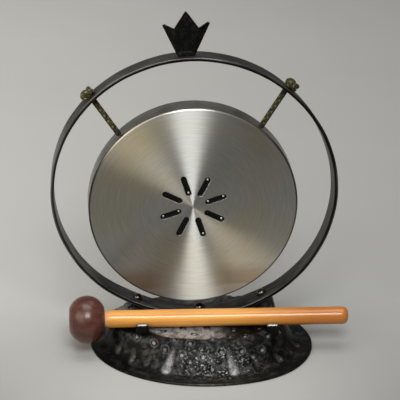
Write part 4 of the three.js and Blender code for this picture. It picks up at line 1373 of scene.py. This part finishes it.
class TABLEGONG_OT_crown(bpy.types.Operator):
    """Makes the three-pointed crown with its folded sides"""

    bl_idname = "table_gong.crown"
    bl_label = "Crown"

    def execute(self, context):
        sizes = context.scene.table_gong
        hoop = sizes.hoop
        floor = hoop.radius + CLEARANCE
        patches = self.sheet(hoop, floor)
        patches.append(self.weld(hoop, floor))
        for p in patches:
            p["points"] = in_hoop(sizes, p["points"])
        piece = surface("crown", patches, sharp=30)
        bevel = piece.modifiers.new("edges", "BEVEL")
        bevel.width, bevel.segments, bevel.angle_limit = CROWN_BEVEL, 2, math.radians(40)
        finished(piece, "stand", [crown_iron(sizes.finish)], ["crown"])
        return {"FINISHED"}

    @staticmethod
    def sheet(hoop, floor):
        """Sheet between the straight foot and the zigzag of points and notches, its sides folded back."""
        u, v = np.linspace(-1, 1, 97), np.linspace(0, 1, 41)[:, None]
        crease = hoop.crown_notch_spacing / hoop.crown_width
        corners = [-1, -crease, 0, crease, 1]
        side, notch = hoop.crown_width / 2, hoop.crown_notch_spacing / 2
        side_top, notch_top = hoop.crown_side_height, hoop.crown_notch_height
        top_x = np.interp(u, corners, [-side, -notch, 0, notch, side])
        top_z = np.interp(u, corners, [side_top, notch_top, hoop.crown_height, notch_top, side_top])
        top_z = top_z - SIDE_BLUNT * smooth((np.abs(u) - 0.9) / 0.1) - MIDDLE_BLUNT * fade(np.abs(u) / 0.07)
        foot_x = np.clip(u / crease, -1, 1) * hoop.crown_foot_width / 2 - CROWN_SLIP
        fold = hoop.crown_fold * np.clip((np.abs(u) - crease) / (1 - crease), 0, 1)
        waver = CROWN_WAVER * np.sin(9 * u + 6 * v) * v
        sheet_y = -hoop.crown_ahead + fold * v + waver
        front = stack(foot_x + (top_x - foot_x) * v, sheet_y - hoop.crown_sheet / 2, floor + top_z * v)
        back = front + [0, hoop.crown_sheet, 0]
        loop = np.concatenate([front, back[::-1], front[:1]])
        ends = [patch(np.stack([front[:, k], back[:, k]]), np.stack([front[:, k, ::2]] * 2)) for k in (0, -1)]
        return [patch(loop, loop[..., ::2]), *ends]

    @staticmethod
    def weld(hoop, floor):
        """Uneven weld bead round the crown's foot: a rounded block whose sides swell and dip."""
        around = np.linspace(0, TURN, 97)
        rise = np.linspace(0, QUARTER, 13)[:, None]
        swell = 1 + WELD_SWELL * np.sin(9 * around) * np.sin(2 * rise)
        x, y = squared_oval(around, hoop.crown_foot_width, hoop.crown_foot_depth, WELD_POWER)
        inset = np.cos(rise) ** WELD_ROUND * swell
        z = floor + hoop.crown_foot_height * np.sin(rise)
        points = stack(x * inset - CROWN_SLIP, y * inset - hoop.crown_ahead, z)
        bottom = points[:1] * [0, 0, 1] + [-CROWN_SLIP, -hoop.crown_ahead, 0]
        points = np.concatenate([bottom, points])
        return patch(points, points[..., ::2])


# Gong

# Ends of each groove that hold one of the bright studs, a painted glint, inner and outer, from the right
# anticlockwise
GLINT_STUDS = ((1, 1), (0, 1), (1, 0), (0, 0), (1, 1), (0, 0), (0, 1), (0, 1))
STUD_RADIUS, STUD_HEIGHT, STUD_SUNK = 0.85 * MM, 0.5 * MM, 0.15 * MM
GROOVE_LIP = 0.2 * MM  # rounding where a groove meets the face
FIELD_SPACING = 1.15  # power that draws the field's rows towards the grooves
BACK_EDGE, INNER_EDGE = 0.5 * MM, 1.2 * MM  # roundings of the rim's back and of the corner in the pan
FACE_END = 0.15 * MM  # the plain face ends this far before its rounded edge
EDGE_STEPS = 8  # steps of each rounding of the pan
EDGE_BRIGHT = 0.5  # below this share of its radius the face's edge has a painted dark reflection, above it a painted highlight grows


def glint_stud(pan, x, z):
    """Small bright steel piece in the bottom of a groove, a painted glint: a flattened half ball whose edge
    is sunk in the black.
    """
    a, around = np.linspace(0, QUARTER, 7)[:, None], np.linspace(0, TURN, 25)
    out = STUD_RADIUS * np.sin(a)
    y = pan.slot_depth + STUD_SUNK - STUD_HEIGHT * np.cos(a)
    points = stack(x + out * np.cos(around), y, z + out * np.sin(around))
    return patch(points, points[..., ::2], 3)


def slot_field(pan):
    """Grids of the field round the grooves, one wedge for each, and the turns of the points on its outer arc.

    Rays from a groove's middle meet its outline at one end and the wedge's edge at the other. Rows run from
    the groove's bottom, up its round side, over its lip and out along the rays. The outline has round ends.
    """
    wedge = math.pi / pan.slots
    half = pan.slot_width / 2
    middle = (pan.slot_inner + pan.slot_outer) / 2
    straight = (pan.slot_outer - pan.slot_inner) / 2 - half
    cap = math.atan2(half, straight)
    corner = math.atan2(pan.slot_field * math.sin(wedge), pan.slot_field * math.cos(wedge) - middle)
    sides = np.arctan2(half, np.linspace(straight, -straight, 15))
    fan = np.linspace(cap, corner, 9)
    outer_end, inner_end = np.linspace(0, cap, 9)[:-1], np.linspace(math.pi - cap, math.pi, 9)[1:]
    upper = np.unique(np.concatenate([outer_end, fan, sides, inner_end]).round(9))
    ray = np.concatenate([upper, TURN - upper[-2::-1]])
    da, db = np.cos(ray), np.sin(ray)

    def outline(width):
        """Distance from the groove's middle to its outline, for a groove of that half width."""
        flat = width / np.maximum(np.abs(db), TINY)
        round_end = straight * np.abs(da) + np.sqrt(np.maximum(width**2 - (straight * db) ** 2, 0))
        return np.where(flat * np.abs(da) <= straight, flat, round_end)

    slope = math.tan(wedge)
    with np.errstate(divide="ignore", invalid="ignore"):
        to_sides = middle * slope / (db - slope * da), -middle * slope / (db + slope * da)
    to_arc = -middle * da + np.sqrt((middle * da) ** 2 + pan.slot_field**2 - middle**2)
    edge = to_arc
    for to_side in to_sides:
        edge = np.minimum(edge, np.where(to_side > TINY, to_side, to_arc))
    edge = np.where(np.abs(ray - math.pi) < NEARLY, middle, edge)
    groove = [
        (outline(max(half * math.sin(b), NEARLY)), pan.slot_depth * math.cos(b) + GROOVE_LIP * math.sin(b))
        for b in np.linspace(0, QUARTER, 10)]
    plain = [
        (outline(half + GROOVE_LIP * (1 - math.cos(b))), GROOVE_LIP * (1 - math.sin(b)))
        for b in np.linspace(0, QUARTER, 6)[1:]]
    start = outline(half + GROOVE_LIP)
    plain += [(start + (edge - start) * t**FIELD_SPACING, 0.0) for t in np.linspace(0, 1, 15)[1:]]
    patches = []
    for k in range(pan.slots):
        phase = pan.slot_phase + 2 * wedge * k
        for rows, finish in ((groove, 1), (groove[-1:] + plain, 0)):
            s = np.array([row[0] for row in rows])
            y = np.array([np.broadcast_to(row[1], ray.shape) for row in rows])
            a, b = middle + s * da, s * db
            turn = phase + np.arctan2(b, np.maximum(a, TINY))
            radius = np.hypot(a, b)
            points = stack(radius * np.cos(turn), y, radius * np.sin(turn))
            patches.append(patch(points, stack(turn / TURN, radius), finish))
        for has_stud, place in zip(GLINT_STUDS[k % len(GLINT_STUDS)], (middle - straight, middle + straight)):
            if has_stud:
                patches.append(glint_stud(pan, place * math.cos(phase), place * math.sin(phase)))
    arc = np.arctan2(edge * db, middle + edge * da)[np.isclose(edge, to_arc)]
    return patches, np.unique(arc.round(9))


class TABLEGONG_OT_gong(bpy.types.Operator):
    """Makes the turned steel pan with its grooves"""

    bl_idname = "table_gong.gong"
    bl_label = "Gong"

    def execute(self, context):
        sizes = context.scene.table_gong
        pan, finish = sizes.pan, sizes.finish
        patches, arc = slot_field(pan)
        wedge = TURN / pan.slots
        turn = np.concatenate([pan.slot_phase + wedge * k + arc[:-1] for k in range(pan.slots)])
        turn = np.append(turn, turn[0] + TURN)
        inside = pan.radius - pan.wall
        corners = [
            (pan.slot_field, 0), (pan.radius, 0), (pan.radius, pan.depth),
            (inside, pan.depth), (inside, pan.face), (0, pan.face)]
        profile = rounded(corners, [pan.edge, BACK_EDGE, BACK_EDGE, INNER_EDGE], EDGE_STEPS)
        reach = np.linspace(pan.slot_field, pan.radius - pan.edge - FACE_END, 24)
        face = np.stack([reach, np.zeros(len(reach))], axis=-1)
        profile = np.concatenate([face, profile[1:]])
        distance = pan.slot_field + along(profile)[:, None]
        bend = len(face) + EDGE_STEPS // 2
        steps = np.arange(len(profile))[:, None]
        rounding = (steps >= len(face)) & (steps < len(face) + EDGE_STEPS)
        # painted highlight along the top of the rounded edge, painted dark reflection round its sides and
        # bottom
        high = np.sin(turn) - EDGE_BRIGHT
        shine = (rounding & (steps < bend)) * smooth((high - 0.2 * np.cos(turn)) / 0.4)
        edge = rounding * fade(high / 0.3) - shine
        for rows, slot in ((slice(0, bend + 1), 0), (slice(bend, None), 2)):
            radius, y = profile[rows].T[:, :, None]
            points = stack(radius * np.cos(turn), y, radius * np.sin(turn))
            patches.append(patch(points, stack(turn / TURN, distance[rows]), slot, edge=edge[rows]))
        for p in patches:
            p["marks"].setdefault("edge", np.zeros(p["points"].shape[:2]))
            p["points"] = in_pan(sizes, p["points"])
        piece = surface("gong", patches, sharp=30)
        steels = [turned_steel(finish), groove_gloss_black(finish), rim_steel(finish), glint_stud_steel(finish)]
        finished(piece, "gong", steels, ["gong_pan"])
        return {"FINISHED"}


# Mallet

TENON_RADIUS, TENON_LENGTH = 4 * MM, 15 * MM
HOLE_RADIUS, HOLE_DEPTH = 4.3 * MM, 16 * MM
NECK_ROUNDING = 1 * MM  # where the neck's taper meets the handle
BARE_NECK = 1.5 * MM  # length of the bare wood at the neck, and of its fade
SHAFT_STEPS, SHAFT_START, SHAFT_END = 60, 2 * MM, 6 * MM  # rows of the straight shaft, and where it ends
HEAD_POWER = 2.1  # makes the head slightly fuller than an oval


def along_x(points, sizes):
    """Points of a piece turned about Y, laid along X where the handle lies on the dome."""
    mallet = sizes.mallet
    height = sizes.base.dome_height + CLEARANCE + mallet.handle_diameter / 2
    x, y, z = axes(points)
    return stack(y, sizes.hoop.back - x - mallet.handle_ahead, z + height)


class TABLEGONG_OT_mallet(bpy.types.Operator):
    """Makes the mallet's handle and head"""

    bl_idname = "table_gong.mallet"
    bl_label = "Mallet"

    def execute(self, context):
        sizes = context.scene.table_gong
        finish = sizes.finish
        finished(self.handle(sizes), "mallet", [varnished_wood(finish)], ["mallet_handle"])
        finished(self.head(sizes), "mallet", [lacquered_wood(finish)], ["mallet_head"])
        return {"FINISHED"}

    @staticmethod
    def handle(sizes):
        """Handle: tenon, tapered neck, straight shaft and rounded end, turned about its axis."""
        mallet = sizes.mallet
        radius = mallet.handle_diameter / 2
        face = -mallet.head_reach
        end = face + mallet.handle_length
        corners = [
            (0, face - TENON_LENGTH), (TENON_RADIUS, face - TENON_LENGTH), (TENON_RADIUS, face),
            (mallet.neck_diameter / 2, face + CLEARANCE), (radius, face + mallet.neck_length),
            (radius, end), (0, end)]
        profile = rounded(corners, [0, 0, 0, NECK_ROUNDING, mallet.handle_rounding], 10)
        shaft = np.linspace(face + mallet.neck_length + SHAFT_START, end - SHAFT_END, SHAFT_STEPS)
        keep = profile[:, 1] < shaft[0]
        line = np.stack([np.full(SHAFT_STEPS, radius), shaft], axis=-1)
        profile = np.concatenate([profile[keep], line, profile[~keep]])
        points, uv = turned(profile, 96)
        bare = fade((profile[:, 1] - face - BARE_NECK) / BARE_NECK)[:, None] + 0 * uv[..., 0]
        return surface("handle", [patch(along_x(points, sizes), uv, bare=bare)], sharp=35)

    @staticmethod
    def head(sizes):
        """Head: the section |x|^p + |r|^p = 1, cut off flat at both ends, turned about the handle."""
        mallet = sizes.mallet
        face = -mallet.head_reach
        start = (1 - mallet.head_face**HEAD_POWER) ** (1 / HEAD_POWER)
        t = np.sin(np.linspace(-QUARTER, QUARTER, 61)) * start
        radius = mallet.head_diameter / 2 * (1 - np.abs(t) ** HEAD_POWER) ** (1 / HEAD_POWER)
        place = face - mallet.head_length / 2 + mallet.head_length / 2 * t / start
        flat = np.linspace(0, radius[0], 8)[:-1]
        ring = np.linspace(radius[-1], HOLE_RADIUS, 8)[1:]
        profile = np.concatenate([
            np.stack([flat, np.full(7, place[0])], axis=-1), np.stack([radius, place], axis=-1),
            np.stack([ring, np.full(7, place[-1])], axis=-1),
            [(HOLE_RADIUS, face - HOLE_DEPTH), (0, face - HOLE_DEPTH)]])
        points, uv = turned(profile, 128)
        return surface("head", [patch(along_x(points, sizes), uv)], sharp=45)


# Panel and registration


class TABLEGONG_PT_panel(bpy.types.Panel):
    """Lists the pieces of the table gong"""

    bl_idname = "TABLEGONG_PT_panel"
    bl_label = "Table Gong"
    bl_space_type = "VIEW_3D"
    bl_region_type = "UI"
    bl_category = "Table Gong"

    def draw(self, context):
        for operator in OPERATORS:
            self.layout.operator(operator.bl_idname)
        gong = context.scene.table_gong
        for group in (gong.base, gong.hoop, gong.pan, gong.cord, gong.mallet, gong.finish):
            box = self.layout.box()
            for name in group.bl_rna.properties.keys():
                if name not in ("rna_type", "name"):
                    box.prop(group, name)


GROUPS = (BaseSizes, HoopSizes, PanSizes, CordSizes, MalletSizes, Finishes, TableGong)
OPERATORS = (
    TABLEGONG_OT_stage, TABLEGONG_OT_cords, TABLEGONG_OT_base, TABLEGONG_OT_pegs, TABLEGONG_OT_hoop,
    TABLEGONG_OT_rivets, TABLEGONG_OT_crown, TABLEGONG_OT_gong, TABLEGONG_OT_mallet,
)
CLASSES = (*GROUPS, *OPERATORS, TABLEGONG_PT_panel)


def register():
    for cls in CLASSES:
        bpy.utils.register_class(cls)
    bpy.types.Scene.table_gong = PointerProperty(type=TableGong)


def unregister():
    del bpy.types.Scene.table_gong
    for cls in reversed(CLASSES):
        bpy.utils.unregister_class(cls)


def main():
    register()
    bpy.ops.table_gong.stage()
    bpy.ops.table_gong.cords()
    bpy.ops.table_gong.base()
    bpy.ops.table_gong.pegs()
    bpy.ops.table_gong.hoop()
    bpy.ops.table_gong.rivets()
    bpy.ops.table_gong.crown()
    bpy.ops.table_gong.gong()
    bpy.ops.table_gong.mallet()


if __name__ == "__main__":
    main()
